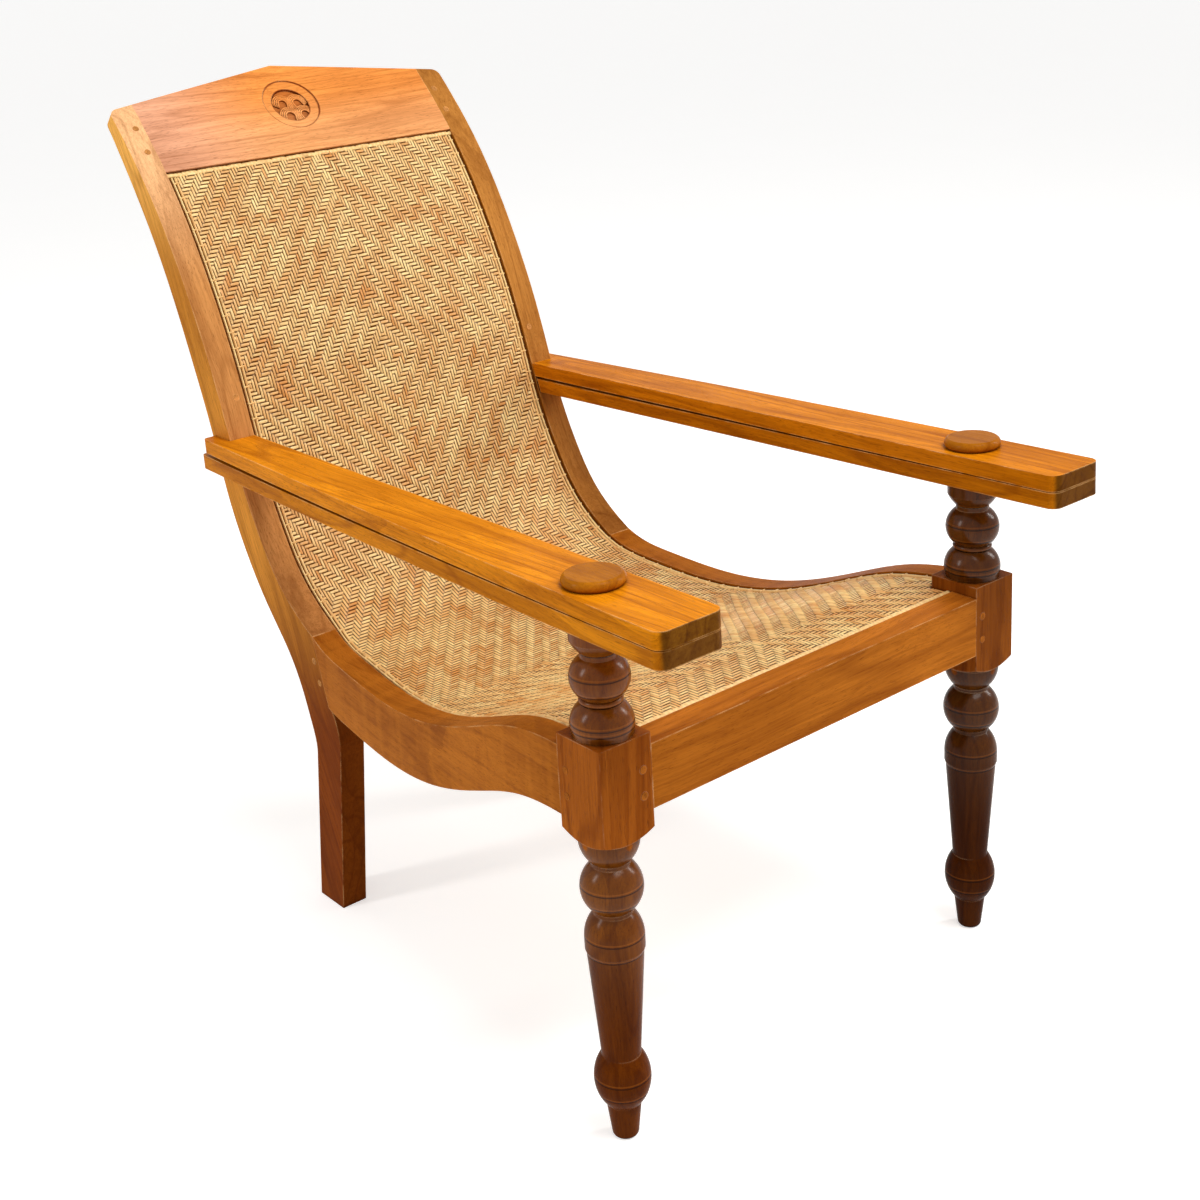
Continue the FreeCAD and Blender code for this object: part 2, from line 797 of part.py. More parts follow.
def is_top_corner(edge, top):
    """The upper outer corner of a stile, which runs from its front face to its back."""
    ends = [vertex.Point for vertex in edge.Vertexes]
    level = all(abs(end.x - top.x) < FUZZ for end in ends)
    return level and min(end.distanceToPoint(top) for end in ends) < s.stile_depth / 4 and \
        abs((ends[0] - ends[-1]).normalize().dot(crest_out)) > 1 / math.sqrt(2)


# turned front posts

# where an arc bulges, as shares of its change in radius and of its height
round_shares = (0.72, 0.62)
cup_shares = (0.86, 0.56)
ogee_shares = (0.3, 0.28)
dome_share = 0.3


def post_body(side, name):
    body = new_body(f"front_post_{name}_turned")
    place(body, x=side * post_x, y=post_y)
    corner = half_block * math.sqrt(2)
    neck = s.neck_diameter / 2
    cup = s.cup_diameter / 2

    square = new_sketch(body, "block_square", "XY_Plane", lift=cup_foot)
    draw(square, (-half_block, -half_block), (half_block, -half_block),
         (half_block, half_block), (-half_block, half_block))
    pad(body, "block", square, block_top - cup_foot)

    waste = new_sketch(body, "pommel_waste", "XZ_Plane")
    far = corner + s.pommel_height
    draw(waste,
         (neck, cup_foot),
         ((neck + (cup - neck) * cup_shares[0], cup_foot + s.cup_height * cup_shares[1]),
          (cup, cup_top)),
         ((cup + (corner - cup) * ogee_shares[0], cup_top + s.pommel_height * ogee_shares[1]),
          (corner, pommel_top)),
         (far, pommel_top),
         (far, ball_top),
         (neck, ball_top))
    turn(body, "pommel", waste, kind="Groove")

    leg = new_sketch(body, "leg_profile", "XZ_Plane")
    tip = s.foot_tip_diameter / 2
    ankle = s.ankle_diameter / 2
    collar = s.collar_diameter / 2
    foot_bulge = (s.foot_bulb_diameter / 2, foot_top + s.foot_bulb_height / 2)
    shoulder = (neck + (collar - neck) * round_shares[1], collar_top + s.shoulder_height * round_shares[1])
    # the ball is a true sphere that meets the necks
    half_ball = s.ball_height / 2
    ball = (Size(math.hypot(neck, half_ball), f"hypot({neck.formula}; {half_ball.formula})"),
            ball_foot + half_ball)
    draw(leg,
         (0, 0),
         (tip - s.foot_round, 0),
         ((tip - s.foot_round * (1 - math.sqrt(0.5)), s.foot_round * (1 - math.sqrt(0.5))),
          (tip, s.foot_round)),
         (s.foot_top_diameter / 2, foot_top),
         (foot_bulge, (ankle, foot_bulb_top)),
         (ankle, ankle_top),
         (s.taper_top_diameter / 2, taper_top),
         (collar, taper_top + s.neck_height),
         (collar, collar_top),
         (shoulder, (neck, shoulder_top)),
         (neck, ball_foot),
         (ball, (neck, ball_top)),
         (neck, cup_foot),
         (0, cup_foot))
    turn(body, "leg", leg)

    post = new_sketch(body, "post_profile", "XZ_Plane")
    ring = s.base_ring_diameter / 2
    collet = s.collet_diameter / 2
    flare = s.flare_diameter / 2
    flare_bulge = (collet + (flare - collet) * round_shares[0],
                   collet_top + s.flare_height * round_shares[1])
    draw(post,
         (0, block_top),
         (ring, block_top),
         (ring, ring_top),
         ((s.lower_bulb_diameter / 2, ring_top + s.lower_bulb_height * dome_share),
          (neck, lower_bulb_top)),
         ((s.bead_diameter / 2, lower_bulb_top + s.bead_height / 2), (neck, bead_top)),
         ((s.upper_bulb_diameter / 2, bead_top + s.upper_bulb_height / 2), (collet, upper_bulb_top)),
         (collet, collet_top),
         (flare_bulge, (flare, flare_top)),
         (flare, pivot_height + s.bead_height),
         (0, pivot_height + s.bead_height))
    turn(body, "arm_post", post)

    seat = body.newObject("PartDesign::SubtractiveCylinder", "rest_seat")
    seat.Radius = float(s.flare_diameter)
    bind(seat, "Radius", s.flare_diameter)
    seat.Height = float(s.cut_overrun)
    bind(seat, "Height", s.cut_overrun)
    place(seat, z=pivot_height, axis=Vector(1, 0, 0), angle=-s.rest_slope)

    spigot = body.newObject("PartDesign::AdditiveCylinder", "spigot")
    size_spigot(spigot)
    place_spigot(spigot, 0, 0)
    return body


spigot_reach = s.thrust_gap + s.board_thickness * 2 + s.board_gap + s.cap_bore_depth


def size_spigot(cylinder):
    cylinder.Radius = float(s.spigot_diameter / 2)
    bind(cylinder, "Radius", s.spigot_diameter / 2)
    cylinder.Height = float(spigot_reach + s.flare_band_height)
    bind(cylinder, "Height", spigot_reach + s.flare_band_height)


def place_spigot(cylinder, x, y):
    """The spigot stands square to the leg rest that turns on it."""
    place(cylinder, x=x, y=y - sine(s.rest_slope) * s.flare_band_height,
          z=pivot_height - cosine(s.rest_slope) * s.flare_band_height,
          axis=Vector(1, 0, 0), angle=-s.rest_slope)


# arms and leg rests

def board(label, side, lift, slope, length, reach_in, tail_in, bore):
    """A flat arm board in its own sloping plane, with its post's axis at its origin."""
    body = new_body(label)
    place(body, x=side * post_x, y=post_y + sine(slope) * lift, z=pivot_height + cosine(slope) * lift,
          axis=Vector(1, 0, 0), angle=-slope)
    front = -s.arm_front_reach
    tail = front + length
    inner_front = -s.arm_inner_set
    outer_front = inner_front + s.arm_front_width
    inner_rear = stile_inner - post_x
    tail_out = stile_outer - post_x + s.arm_tail_width
    bow = (side * ((outer_front + tail_out) / 2 + s.arm_bow), (front + tail) / 2)
    outline = new_sketch(body, "outline", "XY_Plane")
    draw(outline,
         (side * outer_front, front),
         (bow, (side * tail_out, tail)),
         (side * tail_in, tail),
         (side * tail_in, reach_in),
         (side * inner_rear, reach_in),
         (side * inner_front, front))
    flat = pad(body, "board", outline, s.board_thickness)
    corners = [(side * outer_front, front), (side * inner_front, front)]
    rounded = round_edges(body, "front_corners", flat, s.arm_corner_radius, upright_at(corners))
    body.Tip = rounded
    rounded = round_edges(body, "tail_corner", rounded, s.tail_radius,
                          upright_at([(side * tail_out, tail)]))
    body.Tip = rounded
    if bore:
        mouth = new_sketch(body, "bore_circle", "XY_Plane")
        circle = mouth.addGeometry(Part.Circle(Vector(), Vector(0, 0, 1), float(bore / 2)), False)
        mouth.addConstraint(Sketcher.Constraint("Coincident", circle, 3, -1, 1))
        number = mouth.addConstraint(Sketcher.Constraint("Diameter", circle, float(bore)))
        bind(mouth, f"Constraints[{number}]", bore)
        doc.recompute()
        before = body.Shape.Volume
        hole = body.newObject("PartDesign::Pocket", "bore")
        hole.Profile = mouth
        hole.Type = "ThroughAll"
        hole.Reversed = True
        doc.recompute()
        if hole.Shape.Volume > before - s.board_thickness:
            raise RuntimeError("the bore of a leg rest has cut nothing")
    return body


def upright_at(places):
    """Picks the upright edges that stand at given places."""
    def wanted(edge):
        ends = [vertex.Point for vertex in edge.Vertexes]
        upright = abs(ends[0].x - ends[-1].x) < FUZZ and abs(ends[0].y - ends[-1].y) < FUZZ
        return upright and any(math.hypot(ends[0].x - x, ends[0].y - y) < NEAR for x, y in places)
    return wanted


def stile_front_at(height):
    return scoop.value(at_height(height)).y


def cap_body(side, name):
    body = new_body(f"pivot_cap_{name}_turned")
    lift = s.thrust_gap + s.board_thickness * 2 + s.board_gap
    place(body, x=side * post_x, y=post_y + sine(s.arm_slope) * lift,
          z=pivot_height + cosine(s.arm_slope) * lift, axis=Vector(1, 0, 0), angle=-s.arm_slope)
    profile = new_sketch(body, "profile", "XZ_Plane")
    rim = s.cap_diameter / 2
    edge = s.cap_edge_radius
    draw(profile,
         (0, 0),
         (rim - edge / 2, 0),
         ((rim, s.cap_height * dome_share), (rim - edge, s.cap_height)),
         (0, s.cap_height))
    turn(body, "disc", profile)
    return body


PEG_NODES = (
    ("post", "pegs_front_posts"),
    ("leg", "pegs_rear_legs"),
    ("crest", "pegs_crest"),
    ("lumbar", "pegs_lumbar"),
    ("arm", "pegs_arms"),
)
peg_sets = {}
post_tenons = []
crest_tenons = []
caps = []

for name, side in SIDES:
    front_tenon, side_tenon = front_tenons(side, name)
    rear_tenon = leg_tenon(side, name)
    top_tenon = crest_tenon(side, name)
    pegs = {
        "post": post_pegs(side, name),
        "leg": leg_pegs(side, name),
        "crest": crest_pegs(side, name),
        "lumbar": lumbar_peg(side, name),
    }
    leg_blank = solid(f"rear_leg_{name}_blank", rear_leg(side))
    nodes.append(carve(f"front_post_{name}", post_body(side, name),
                       [front_tenon, side_tenon] + pegs["post"]))
    rail_plain = solid(f"side_rail_{name}_plain", side_rail(side))
    rail = join(f"side_rail_{name}_whole", [rail_plain, side_tenon, rear_tenon])
    nodes.append(carve(f"side_rail_{name}", rail, [sheet_cut] + pegs["post"] + pegs["leg"]))

    arm_lift = s.thrust_gap + s.board_thickness + s.board_gap
    arm_height = pivot_height + arm_lift
    stile_in = stile_outer - post_x
    arm_in = stile_front_at(arm_height) - post_y + s.stile_depth / 3
    arm = board(f"arm_{name}_board", side, arm_lift, s.arm_slope, s.arm_length, arm_in, stile_in, 0)
    socket = doc.addObject("Part::Cylinder", f"socket_{name}")
    size_spigot(socket)
    place_spigot(socket, side * post_x, post_y)
    tail_y = stile_front_at(arm_height - s.board_thickness) + s.stile_depth / 2
    tail_z = arm_height - math.tan(math.radians(s.arm_slope)) * (tail_y - post_y) + s.board_thickness / 2
    tail_peg = peg(f"tail_peg_{name}", (side * (stile_outer + s.arm_tail_width), tail_y, tail_z),
                   (-side, 0, 0), s.peg_length)
    pegs["arm"] = [tail_peg]
    nodes.append(carve(f"arm_{name}", arm, [leg_blank, socket, tail_peg]))
    nodes.append(carve(f"rear_leg_{name}", leg_blank,
                       [sheet_cut, rear_tenon, top_tenon, lumbar_plain, rear_plain]
                       + pegs["leg"] + pegs["crest"] + pegs["lumbar"] + pegs["arm"]))

    swept = leg_blank.Shape.copy()
    swept.translate(Vector(0, -s.rest_clearance, 0))
    room = solid(f"rest_room_{name}", swept)
    rest_in = stile_front_at(pivot_height) - post_y
    rest = board(f"leg_rest_{name}_board", side, s.thrust_gap, s.rest_slope, s.leg_rest_length,
                 rest_in, stile_in + s.tail_clearance, s.spigot_diameter + s.running_fit * 2)
    nodes.append(carve(f"leg_rest_{name}", rest, [room]))
    caps.append(carve(f"pivot_cap_{name}", cap_body(side, name), [socket]))

    for kind, made in pegs.items():
        peg_sets.setdefault(kind, []).extend(made)
    post_tenons.append(front_tenon)
    crest_tenons.append(top_tenon)

front_whole = join("front_rail_whole", [front_plain] + post_tenons)
nodes.append(carve("front_rail", front_whole, [sheet_cut] + peg_sets["post"]))
crest_whole = join("crest_whole", [crest_plain] + crest_tenons)
nodes.append(carve("crest_rail", crest_whole, [sheet_cut] + peg_sets["crest"]))
nodes.append(carve("lumbar_rail", lumbar_plain, peg_sets["lumbar"]))
rear_plain.Label = "rear_seat_rail"
nodes.append(rear_plain)
nodes.append(group("pivot_caps", caps))
for kind, label in PEG_NODES:
    nodes.append(group(label, peg_sets[kind]))
doc.recompute()

# every piece is sound before it is written out
for thing in doc.Objects:
    if "Invalid" in thing.State or "Error" in thing.State:
        raise RuntimeError(f"{thing.Label} didn't rebuild")
os.makedirs("parts", exist_ok=True)
for node in nodes:
    if node.Shape.isNull() or not node.Shape.isValid():
        raise RuntimeError(f"{node.Label} has no sound shape")
    node.Shape.exportStep(f"parts/{node.Label}.step")
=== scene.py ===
import math

import bpy
import numpy as np
from mathutils import Matrix, Vector


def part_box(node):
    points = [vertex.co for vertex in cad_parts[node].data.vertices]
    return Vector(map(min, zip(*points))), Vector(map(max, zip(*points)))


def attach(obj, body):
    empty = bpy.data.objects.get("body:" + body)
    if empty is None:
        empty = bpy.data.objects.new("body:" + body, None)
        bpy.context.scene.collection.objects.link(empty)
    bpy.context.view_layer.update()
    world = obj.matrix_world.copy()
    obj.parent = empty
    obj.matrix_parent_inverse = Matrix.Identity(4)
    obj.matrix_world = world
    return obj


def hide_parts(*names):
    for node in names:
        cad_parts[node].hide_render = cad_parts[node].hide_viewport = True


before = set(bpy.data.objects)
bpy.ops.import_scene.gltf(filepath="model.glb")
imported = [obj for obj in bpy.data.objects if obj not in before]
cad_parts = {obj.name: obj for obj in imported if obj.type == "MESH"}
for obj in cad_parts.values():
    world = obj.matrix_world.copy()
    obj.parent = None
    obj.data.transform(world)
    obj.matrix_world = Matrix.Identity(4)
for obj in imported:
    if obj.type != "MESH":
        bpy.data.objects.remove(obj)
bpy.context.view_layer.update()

bl_info = {
    "name": "Planters Chair",
    "version": (1, 0, 0),
    "blender": (4, 5, 0),
    "location": "3D View > Sidebar > Chair",
    "description": "Dresses a planters chair: polished wood, turned posts, woven cane, carving",
    "category": "Object",
}

MM = 0.001
QUARTER = math.radians(90)
POST_INNER, POST_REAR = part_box("front_post_right")[1].xy
SEAT_LEVEL = 437.2 * MM          # top of the side rails behind the posts
POST_BLOCK = (330 * MM, 454.5 * MM)   # foot and top of the square block
TURNED_LINES = [h * MM for h in (55, 73, 217, 235.5, 275, 292.5, 462, 468, 487.6, 500, 517, 539)]
FACING_SITTER = Vector((0, -0.6, 0.8))
LAMP_TARGET = Vector((0, 0, 0.55))
WOOD_IOR = 1.06                  # nearly no sheen, so that a coat alone gives the gloss


# sizes and colours


class ChairWood(bpy.types.PropertyGroup):
    crest: bpy.props.FloatVectorProperty(
        name="Crest", description="Wood of the crest rail", subtype="COLOR",
        default=(0.85, 0.29, 0.060))
    stile: bpy.props.FloatVectorProperty(
        name="Rear legs", description="Wood of the rear legs and the rails between them",
        subtype="COLOR", default=(0.62, 0.265, 0.075))
    rail: bpy.props.FloatVectorProperty(
        name="Seat rails", description="Wood of the side and front rails", subtype="COLOR",
        default=(0.47, 0.14, 0.012))
    arm: bpy.props.FloatVectorProperty(
        name="Arms", description="Wood of the arms and the leg rests", subtype="COLOR",
        default=(0.80, 0.262, 0.007))
    block: bpy.props.FloatVectorProperty(
        name="Post blocks", description="Wood of the square part of the front posts",
        subtype="COLOR", default=(0.41, 0.108, 0.010))
    turned: bpy.props.FloatVectorProperty(
        name="Turned posts", description="Wood of the turned parts", subtype="COLOR",
        default=(0.195, 0.055, 0.004))
    peg: bpy.props.FloatVectorProperty(
        name="Pegs", description="End grain of the pegs", subtype="COLOR",
        default=(0.34, 0.10, 0.012))
    ridge_pitch: bpy.props.FloatProperty(
        name="Carved ridges", description="Distance between the ridges of the medallion",
        default=2.5 * MM, unit="LENGTH")
    line_width: bpy.props.FloatProperty(
        name="Turned line", description="Width of the cut lines round the posts",
        default=1.5 * MM, unit="LENGTH")


class ChairCane(bpy.types.PropertyGroup):
    pitch_across: bpy.props.FloatProperty(
        name="Pitch across", description="Distance between two lengthwise strands",
        default=4.15 * MM, unit="LENGTH")
    pitch_along: bpy.props.FloatProperty(
        name="Pitch along", description="Distance between two crosswise strands",
        default=5.25 * MM, unit="LENGTH")
    rise: bpy.props.FloatProperty(
        name="Rise", description="How far a strand stands out of the sheet",
        default=1.75 * MM, unit="LENGTH")
    thickness: bpy.props.FloatProperty(
        name="Sheet", description="Thickness of the sheet under the strands",
        default=4 * MM, unit="LENGTH")
    top_diamond: bpy.props.FloatProperty(
        name="Top diamond", description="From the top border to the middle of the upper diamond",
        default=290 * MM, unit="LENGTH")
    pale: bpy.props.FloatVectorProperty(
        name="Pale cane", description="Palest strands", subtype="COLOR",
        default=(1.0, 0.76, 0.34))
    tan: bpy.props.FloatVectorProperty(
        name="Tan cane", description="Darkest strands", subtype="COLOR",
        default=(0.70, 0.30, 0.07))
    # painted shade: the dark sheet seen between the strands
    core: bpy.props.FloatVectorProperty(
        name="Between strands", description="The dark between the strands", subtype="COLOR",
        default=(0.09, 0.028, 0.005))


class ChairStage(bpy.types.PropertyGroup):
    camera_place: bpy.props.FloatVectorProperty(
        name="Camera", description="Where the camera stands", subtype="TRANSLATION",
        default=(-1.2457, -1.6399, 1.2218))
    camera_turn: bpy.props.FloatVectorProperty(
        name="Camera turn", description="How the camera is turned", subtype="EULER",
        default=(math.radians(73.124), math.radians(3.211), math.radians(-39.61)))
    lens: bpy.props.FloatProperty(
        name="Lens", description="Focal length in millimetres", default=53.56)
    camera_shift: bpy.props.FloatVectorProperty(
        name="Camera shift", description="How far the frame is moved across and up", size=2,
        default=(0.015, -0.139))
    world_level: bpy.props.FloatProperty(
        name="Surroundings", description="Light from all round", default=0.42)
    key_power: bpy.props.FloatProperty(
        name="Key lamp", description="Power of the lamp on the left", default=30, unit="POWER")
    fill_power: bpy.props.FloatProperty(
        name="Fill lamp", description="Power of the lamp on the right", default=42, unit="POWER")
    top_power: bpy.props.FloatProperty(
        name="Top lamp", description="Power of the lamp overhead", default=88, unit="POWER")


# shader node helpers


def feed(tree, target, value):
    """Links a socket to an input, or writes a plain value into it."""
    if isinstance(value, bpy.types.NodeSocket):
        tree.links.new(value, target)
    elif target.type == "RGBA":
        target.default_value = (*value[:3], 1)
    else:
        target.default_value = value


def node(tree, kind, settings=None, **feeds):
    """Adds a node. A feed named i0, i1, ... goes by number, any other by the input's name."""
    made = tree.nodes.new(kind)
    for key, value in (settings or {}).items():
        setattr(made, key, value)
    for key, value in feeds.items():
        number = key[0] == "i" and key[1:].isdigit()
        feed(tree, made.inputs[int(key[1:]) if number else key.replace("_", " ")], value)
    return made


def sum_up(tree, operation, first, second=0.0, clamp=False):
    """One step of arithmetic on two values."""
    settings = {"operation": operation, "use_clamp": clamp}
    return node(tree, "ShaderNodeMath", settings, i0=first, i1=second).outputs[0]


def remap(tree, value, low, high, out_low=0.0, out_high=1.0):
    """A smooth step from one end value to the other while a value goes from low to high."""
    settings = {"interpolation_type": "SMOOTHSTEP"}
    return node(tree, "ShaderNodeMapRange", settings, i0=value, i1=low, i2=high,
                i3=out_low, i4=out_high).outputs[0]


def mix(tree, share, first, second, mode="MIX"):
    settings = {"data_type": "RGBA", "blend_type": mode}
    return node(tree, "ShaderNodeMix", settings, i0=share, i6=first, i7=second).outputs[2]


def toned(tree, share, colour, tone):
    """A colour that goes over to its product with a tone."""
    return mix(tree, share, colour, mix(tree, 1.0, colour, tone, "MULTIPLY"))


def times(colour, tone):
    return tuple(a * b for a, b in zip(colour, tone))


def component(tree, vector, axis):
    return node(tree, "ShaderNodeSeparateXYZ", None, Vector=vector).outputs[axis]


def attribute(tree, name):
    return node(tree, "ShaderNodeAttribute", {"attribute_name": name}).outputs["Fac"]


def stretched(tree, vector, scale, place=(0, 0, 0), turn=(0, 0, 0)):
    return node(tree, "ShaderNodeMapping", None, Vector=vector, Location=place, Rotation=turn,
                Scale=scale).outputs[0]


def noise(tree, vector, scale, detail=2.0, roughness=0.5, distortion=0.0):
    return node(tree, "ShaderNodeTexNoise", None, Vector=vector, Scale=scale, Detail=detail,
                Roughness=roughness, Distortion=distortion).outputs[0]


def new_group(name, inputs, outputs):
    """A shader node group with named sockets, given as (name, kind, value) and (name, kind)."""
    tree = bpy.data.node_groups.new(name, "ShaderNodeTree")
    for label, kind, value in inputs:
        made = tree.interface.new_socket(label, in_out="INPUT", socket_type="NodeSocket" + kind)
        if kind != "Vector":
            made.default_value = (*value, 1) if kind == "Color" else value
    for label, kind in outputs:
        tree.interface.new_socket(label, in_out="OUTPUT", socket_type="NodeSocket" + kind)
    return tree, tree.nodes.new("NodeGroupInput"), tree.nodes.new("NodeGroupOutput")


def grain_group():
    """Growth rings, fibres, pores and a cloudy tone. X runs along the grain, in metres."""
    tree, given, out = new_group(
        "Wood grain",
        [("Vector", "Vector", None), ("Wood", "Color", (0.5, 0.2, 0.05)),
         ("Figure", "Float", 0.5), ("Ring Width", "Float", 6.0), ("Flame", "Float", 0.0),
         ("Roughness", "Float", 0.35)],
        [("Color", "Color"), ("Roughness", "Float"), ("Height", "Float")])
    along = given.outputs["Vector"]
    wander = node(tree, "ShaderNodeTexNoise", None, Vector=stretched(tree, along, (2.2, 9, 9)),
                  Scale=1.0, Detail=2.0).outputs[1]
    bent = node(tree, "ShaderNodeVectorMath", {"operation": "MULTIPLY_ADD"}, i0=wander,
                i1=(0.02, 0.055, 0.055), i2=along).outputs[0]
    rings = node(tree, "ShaderNodeTexWave",
                 {"wave_type": "RINGS", "rings_direction": "X", "wave_profile": "SAW"},
                 Vector=stretched(tree, bent, (0.1, 1, 1)), Scale=given.outputs["Ring Width"],
                 Distortion=1.2, Detail=3.0, Detail_Scale=1.6).outputs[1]
    fibres = noise(tree, stretched(tree, bent, (12, 420, 420)), 1.0, 4.0, 0.65)
    streaks = noise(tree, stretched(tree, bent, (2.0, 100, 100)), 1.0, 3.0, 0.6, 0.4)
    clouds = noise(tree, stretched(tree, along, (4, 11, 11)), 1.0, 3.0, 0.55)
    pores = remap(tree, noise(tree, stretched(tree, bent, (70, 1500, 1500)), 1.0, 1.0),
                  0.60, 0.72)
    slopes = noise(tree, stretched(tree, along, (0.9, 9, 9)), 1.0, 1.5, 0.45, 0.2)
    contour = sum_up(tree, "PINGPONG", sum_up(tree, "MULTIPLY", slopes, 26.0), 1.0)
    lines = remap(tree, contour, 0.26, 0.0)
    flames = noise(tree, stretched(tree, along, (65, 5, 5)), 1.0, 1.0, 0.4, 0.3)
    ring_tone = remap(tree, rings, 0.35, 1.0)
    figure = sum_up(tree, "MULTIPLY", given.outputs["Figure"], sum_up(
        tree, "ADD", sum_up(tree, "MULTIPLY", ring_tone, 0.55),
        sum_up(tree, "MULTIPLY", remap(tree, streaks, 0.42, 0.72), 0.75)), True)
    wood = given.outputs["Wood"]
    deep = mix(tree, 1.0, wood, (0.44, 0.33, 0.24), "MULTIPLY")
    bright = mix(tree, 1.0, wood, (1.18, 1.25, 1.35), "MULTIPLY")
    colour = mix(tree, figure, bright, deep)
    colour = mix(tree, remap(tree, fibres, 0.35, 0.75, 0.0, 0.42), colour, deep)
    colour = mix(tree, remap(tree, clouds, 0.3, 0.75, 0.0, 0.45), colour, deep)
    drawn = sum_up(tree, "MULTIPLY", lines, given.outputs["Figure"])
    colour = mix(tree, sum_up(tree, "MULTIPLY", drawn, 0.8), colour, deep)
    shimmer = sum_up(tree, "MULTIPLY", given.outputs["Flame"], remap(tree, flames, 0.35, 0.68))
    colour = mix(tree, shimmer, colour, bright)
    pits = sum_up(tree, "MULTIPLY", pores, 0.5)
    colour = mix(tree, pits, colour, mix(tree, 1.0, wood, (0.2, 0.14, 0.1), "MULTIPLY"))
    feed(tree, out.inputs["Color"], colour)
    rough = sum_up(tree, "ADD", given.outputs["Roughness"],
                   sum_up(tree, "MULTIPLY", sum_up(tree, "SUBTRACT", clouds, 0.5), 0.3))
    feed(tree, out.inputs["Roughness"],
         sum_up(tree, "ADD", rough, sum_up(tree, "MULTIPLY", pores, 0.2), True))
    height = sum_up(tree, "SUBTRACT", sum_up(tree, "MULTIPLY", fibres, 0.5), pores)
    feed(tree, out.inputs["Height"], height)
    return tree


def wear_group():
    """Rubbed pale edges of polished wood, and painted shade in its joints and hollows, found by
    ambient occlusion.
    """
    tree, given, out = new_group(
        "Wear and hollow shade",
        [("Vector", "Vector", None), ("Color", "Color", (0.5, 0.2, 0.05)),
         ("Rubbed", "Color", (0.8, 0.5, 0.25)), ("Edge Wear", "Float", 0.6),
         ("Dirt", "Float", 0.7)],
        [("Color", "Color")])
    rounded = node(tree, "ShaderNodeBevel", {"samples": 4}, Radius=2.2 * MM).outputs[0]
    plain = node(tree, "ShaderNodeNewGeometry").outputs["Normal"]
    turn = node(tree, "ShaderNodeVectorMath", {"operation": "DOT_PRODUCT"}, i0=rounded,
                i1=plain).outputs["Value"]
    edge = remap(tree, turn, 0.995, 0.90)
    patches = remap(tree, noise(tree, given.outputs["Vector"], 34.0, 4.0, 0.6), 0.36, 0.66)
    hollow = node(tree, "ShaderNodeAmbientOcclusion", {"samples": 4, "only_local": False},
                  Distance=7 * MM).outputs["AO"]
    open_edge = sum_up(tree, "MULTIPLY", edge, remap(tree, hollow, 0.55, 0.85))
    rubbed = sum_up(tree, "MULTIPLY", sum_up(tree, "MULTIPLY", open_edge, patches),
                    given.outputs["Edge Wear"], True)
    # painted shade: darker where ambient occlusion finds a joint or hollow
    hollow_shade = sum_up(tree, "MULTIPLY", remap(tree, hollow, 0.75, 0.25), given.outputs["Dirt"], True)
    colour = mix(tree, rubbed, given.outputs["Color"], given.outputs["Rubbed"])
    colour = mix(tree, hollow_shade, colour,
                 mix(tree, 1.0, given.outputs["Color"], (0.16, 0.10, 0.07), "MULTIPLY"))
    feed(tree, out.inputs["Color"], colour)
    return tree


def line_group(heights, half_width):
    """Cut lines round a turned post, at the given heights."""
    tree, given, out = new_group("Turned lines", [("Height", "Float", 0.0)], [("Mask", "Float")])
    total = None
    for height in heights:
        away = sum_up(tree, "ABSOLUTE", sum_up(tree, "SUBTRACT", given.outputs[0], height))
        line = remap(tree, away, half_width * 1.5, half_width * 0.4)
        total = line if total is None else sum_up(tree, "MAXIMUM", total, line)
    feed(tree, out.inputs["Mask"], total)
    return tree


def shader_group(name, maker, *given):
    """The group of this name, made on its first use."""
    return bpy.data.node_groups.get(name) or maker(*given)


def grouped(tree, group, **feeds):
    return node(tree, "ShaderNodeGroup", {"node_tree": group}, **feeds)


def new_finish(name):
    """A material with its surface shader, and its object coordinates."""
    finish = bpy.data.materials.new(name)
    finish.use_nodes = True
    tree = finish.node_tree
    shader = tree.nodes["Principled BSDF"]
    return finish, tree, shader, tree.nodes.new("ShaderNodeTexCoord")


def bump(tree, shader, height, strength, distance=0.4 * MM):
    made = node(tree, "ShaderNodeBump", None, Height=height, Strength=strength,
                Distance=distance)
    feed(tree, shader.inputs["Normal"], made.outputs[0])


